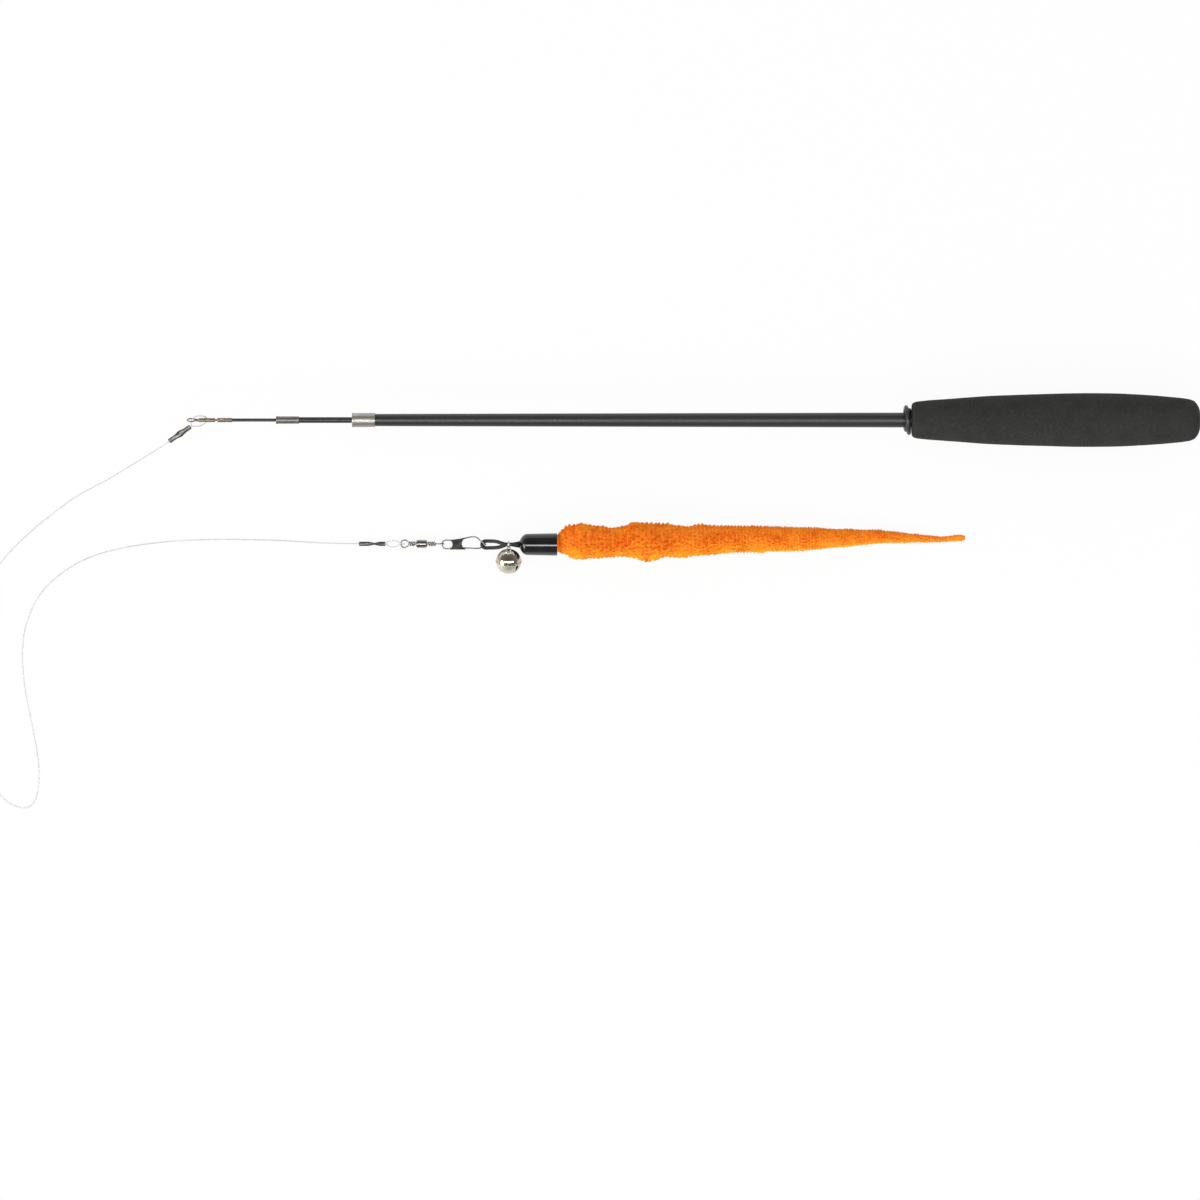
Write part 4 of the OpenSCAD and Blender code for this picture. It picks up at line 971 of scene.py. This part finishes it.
def worm_point(x, a, lift=0.0):
    """A point on the worm's skin, at angle a round it, lumpy as plush over loose stuffing."""
    half, middle = worm_at(x)
    direction = Vector((0, math.cos(a), math.sin(a)))
    base = Vector((WORM_X + x, middle + half * direction.y, middle_height(half) + half * FLATNESS * direction.z))
    broad, fine, crease = 0.22, 0.16, 0.3
    lump = broad * noise.noise(base * 0.25) + fine * noise.noise(base * 0.6 + Vector((7, 3, 1)))
    lump -= crease * fold_at(base)
    lump *= min(1.0, half / 4.5) * (1 - 0.75 * abs(direction.y) ** 4)
    point = base + direction * (lump + lift)
    point.z = max(point.z, 0.12)
    return point


def neck_point(x, a, r):
    """A point of the round neck inside the cap."""
    return Vector((WORM_X + x, CORD_Y + r * math.cos(a), CAP_Z + r * math.sin(a)))


def filling_point(x, a):
    """A point on the stuffing, a wall's thickness inside the skin."""
    half, middle = worm_at(x)
    thick = max(0.25, half - 1.6)
    return Vector((WORM_X + x, middle + thick * math.cos(a), middle_height(half) + (thick - 0.1) * math.sin(a)))


def sleeve_rings(places, rounds, neck_r, point):
    """Rings of points at places along the worm, round in its neck and then as point gives them."""
    turns = [math.tau * k / rounds for k in range(rounds)]
    return [[neck_point(x, a, neck_r) if x < 0 else point(x, a) for a in turns] for x in places]


def worm():
    """The worm: a lumpy skin on its stuffing, and thousands of small leaning tufts of pile on it."""
    step = 0.7
    places = [-6.4, -4.0, -2.0, -0.4] + [i * step for i in range(1, int(WORM_LEN / step) + 1)]
    rings = sleeve_rings(places, 56, 3.48, worm_point)
    skin = lofted("skin", rings)
    # Tip value 0.3 on the skin, and the fold depth that the plush finish turns into painted shade in the folds.
    folds = [fold_at(p) for ring in rings for p in ring]
    mark(skin, "tip", [0.3] * len(folds))
    mark(skin, "fold", folds)
    settle(skin, "worm_skin", "lure", "plush_orange", ["worm_plush"], angle=80.0)
    clumps = lay_clumps()
    for name, seed in (("worm_pile_long", 11), ("worm_pile_short", 29), ("worm_pile_fine", 47)):
        pile(name, seed, 52000, clumps)
    places = [-2.9, 0.6] + [2.0 + 1.5 * i for i in range(88)]
    lump = lofted("worm_stuffing", sleeve_rings(places, 32, 2.0, filling_point))
    settle(lump, "worm_stuffing", "lure", "filling", ["worm_filling"], angle=80.0)


def lay_clumps():
    """Where the pile's tufts draw together, row by row along the worm: the tips of small leaning clumps."""
    dice = random.Random(5)
    rows, x = [], 0.0
    while x < PILE_LEN:
        half, _ = worm_at(x)
        cell = 1.0 + 0.6 * min(1.0, half / FULL_HALF) * max(0.35, min(1.0, (95.0 - x) / 45.0))
        count = max(5, round(math.tau * half / cell))
        shift = dice.random()
        row = []
        for k in range(count):
            place = min(153.5, max(0.1, x + cell * (0.5 + dice.uniform(-0.4, 0.4))))
            a = math.tau * (k + shift + dice.uniform(-0.3, 0.3)) / count
            foot = worm_point(place, a)
            lean = noise.noise_vector(foot * 0.16) * 1.5 + noise.noise_vector(foot * 0.5 + Vector((5, 5, 5))) * 0.7
            lean.x += 0.3
            rise = dice.uniform(*CLUMP_RISE) * (0.55 + 0.45 * min(1.0, cell / 2.0)) * min(1.0, 0.5 + half / 6.0)
            if dice.random() < STRAYS:
                rise *= STRAY_RISE
            row.append((worm_point(place, a, rise) + lean * 0.6 * cell / 2.0, dice.uniform(*CLUMP_SHADE)))
        rows.append((x + cell, shift, row))
        x += cell
    return rows


def pile(name, seed, count, clumps):
    """Tufts that stand on the skin and draw together towards the tips of their clumps."""
    dice = random.Random(seed)
    points, faces, tips, folds = [], [], [], []
    starts = []
    while len(starts) < count:
        x = PILE_LEN * dice.random()
        if dice.random() < worm_at(x)[0] / FULL_HALF:
            starts.append(x)
    at, shortest, lowest = 0, 0.15, 0.03
    for x in sorted(starts):
        while at < len(clumps) - 1 and x >= clumps[at][0]:
            at += 1
        _, shift, row = clumps[at]
        a = math.tau * dice.random()
        target, shade = row[round(a / math.tau * len(row) - shift) % len(row)]
        root = worm_point(x, a, -ROOT_DEPTH)
        loose = Vector((dice.uniform(-1, 1), dice.uniform(-1, 1), dice.uniform(-1, 1)))
        end = root + (target - root) * dice.uniform(*TUFT_REACH) + loose * LOOSENESS
        end.z = max(end.z, lowest)
        way = end - root
        if way.length < shortest:
            continue
        side = way.cross(Vector((0.3, 0.5, 0.8))).normalized()
        other = way.normalized().cross(side)
        first, width = len(points), dice.uniform(*TUFT_R)
        for k in range(3):
            g = math.tau * k / 3
            spot = root + (side * math.cos(g) + other * math.sin(g)) * width
            spot.z = max(spot.z, lowest)
            points.append(mm(*spot))
        points.append(mm(*end))
        # Painted side light: tufts are painted lighter and yellower towards the flanks, fully on the -Y side and 0.35
        # as much on the +Y side; roots get 0.1 plus 0.7 of it, ends their clump's shade plus all of it.
        painted_side_light = abs(math.cos(a)) ** 2 * (0.35 if math.cos(a) > 0 else 1.0)
        tips += [0.1 + painted_side_light * 0.7] * 3 + [min(1.0, shade + painted_side_light)]
        # Fold depth, which the plush finish paints as shade in the folds.
        folds += [fold_at(root)] * 4
        faces += [(first, first + 1, first + 3), (first + 1, first + 2, first + 3), (first + 2, first, first + 3)]
    tufts = from_points(name, points, faces)
    mark(tufts, "tip", tips)
    mark(tufts, "fold", folds)
    settle(tufts, name, "lure", "plush_orange", angle=None)


# ---- Pieces that stay as the part has them


def hidden_pieces():
    """The pieces inside: plug, bushes, knot and ball."""
    for node, slot in (("tube_plug", "plug_plastic"), ("middle_stop", "stop_plastic"), ("tip_stop", "stop_plastic"),
                       ("cord_knot", "cord_black"), ("bell_pellet", "pellet_steel")):
        dress(frame["nodes"][node], FINISHES[slot])


# ---- Studio

FLOOR_LEVEL, GLOW_SHARE = -0.00002, 0.93


def floor():
    """A pale floor that the camera sees as nearly white, with soft shadows."""
    bpy.ops.mesh.primitive_plane_add(size=24.0, location=(0, 0, FLOOR_LEVEL))
    plane = bpy.context.active_object
    plane.name = "pale_floor"
    f = Finish("pale_floor", base_color=(0.86, 0.86, 0.86), roughness=0.9, specular_ior_level=0.1)
    path = f.add("ShaderNodeLightPath").outputs
    rays = f.reckon("MAXIMUM", path["Is Camera Ray"], path["Is Glossy Ray"])
    rays = f.reckon("MAXIMUM", rays, path["Is Transmission Ray"])
    mix = f.add("ShaderNodeMixShader")
    f.join(f.reckon("MULTIPLY", rays, GLOW_SHARE), mix.inputs["Fac"])
    f.join(f.shader.outputs["BSDF"], mix.inputs[1])
    f.join(f.add("ShaderNodeEmission").outputs["Emission"], mix.inputs[2])
    f.join(mix.outputs["Shader"], f.tree.nodes["Material Output"].inputs["Surface"])
    plane.data.materials.append(f.material)


def softbox(name, place, turn, size, power, glossy=True, diffuse=True, shape="RECTANGLE"):
    """A soft light, seen in gloss, by matte surfaces or by both."""
    data = bpy.data.lights.new(name, "AREA")
    data.shape = shape
    data.size, data.size_y = size
    data.energy = power
    lamp = in_scene(name, data)
    lamp.location = place
    lamp.rotation_euler = [math.radians(a) for a in turn]
    lamp.visible_glossy = glossy
    lamp.visible_diffuse = diffuse


def world():
    """Even light all round, with a dimmer room above the floor for gloss to mirror."""
    surround = bpy.data.worlds.new("studio")
    bpy.context.scene.world = surround
    surround.use_nodes = True
    room = Nodes(surround.node_tree)
    split = room.add("ShaderNodeSeparateXYZ")
    room.join(room.add("ShaderNodeTexCoord").outputs["Generated"], split.inputs["Vector"])
    greys = room.ramp(split.outputs["Z"], *((height, (grey, grey, grey * 0.98)) for height, grey in (
        (0.02, 0.42), (0.25, 0.26), (0.72, 0.2), (0.95, 0.14))))
    glossy = room.add("ShaderNodeLightPath").outputs["Is Glossy Ray"]
    background = room.tree.nodes["Background"]
    room.join(room.blend((0.9, 0.9, 0.9), greys, glossy), background.inputs["Color"])
    background.inputs["Strength"].default_value = 1.0


def studio():
    """The floor, the world and the lamps."""
    floor()
    world()
    softbox("strip", (0.0, -0.19, 0.9), (12, 0, 0), (1.6, 0.21), 9.8, diffuse=False)
    softbox("back_card", (0.0, 1.2, 0.13), (-84, 0, 0), (2.4, 0.26), 3.5, diffuse=False)
    softbox("key", (0.0, -1.2, 0.9), (53, 0, 0), (1.8, 0.5), 7.0, glossy=False)
    softbox("side_card", (-1.0, -0.25, 0.45), (0, -66, 14), (0.7, 0.7), 2.6, glossy=False)
    softbox("window", (-0.98, -0.3, 0.47), (0, -64.6, 16.8), (0.6, 0.75), 6.5, diffuse=False, shape="ELLIPSE")
    bpy.context.scene.view_settings.view_transform = "Standard"


for make in (clear_line, foam_grip, keeper_band, outer_tube, inner_sections, tip_fittings, swivel, snap, black_cord,
             bell, bell_wires, end_cap, worm, hidden_pieces, studio):
    make()
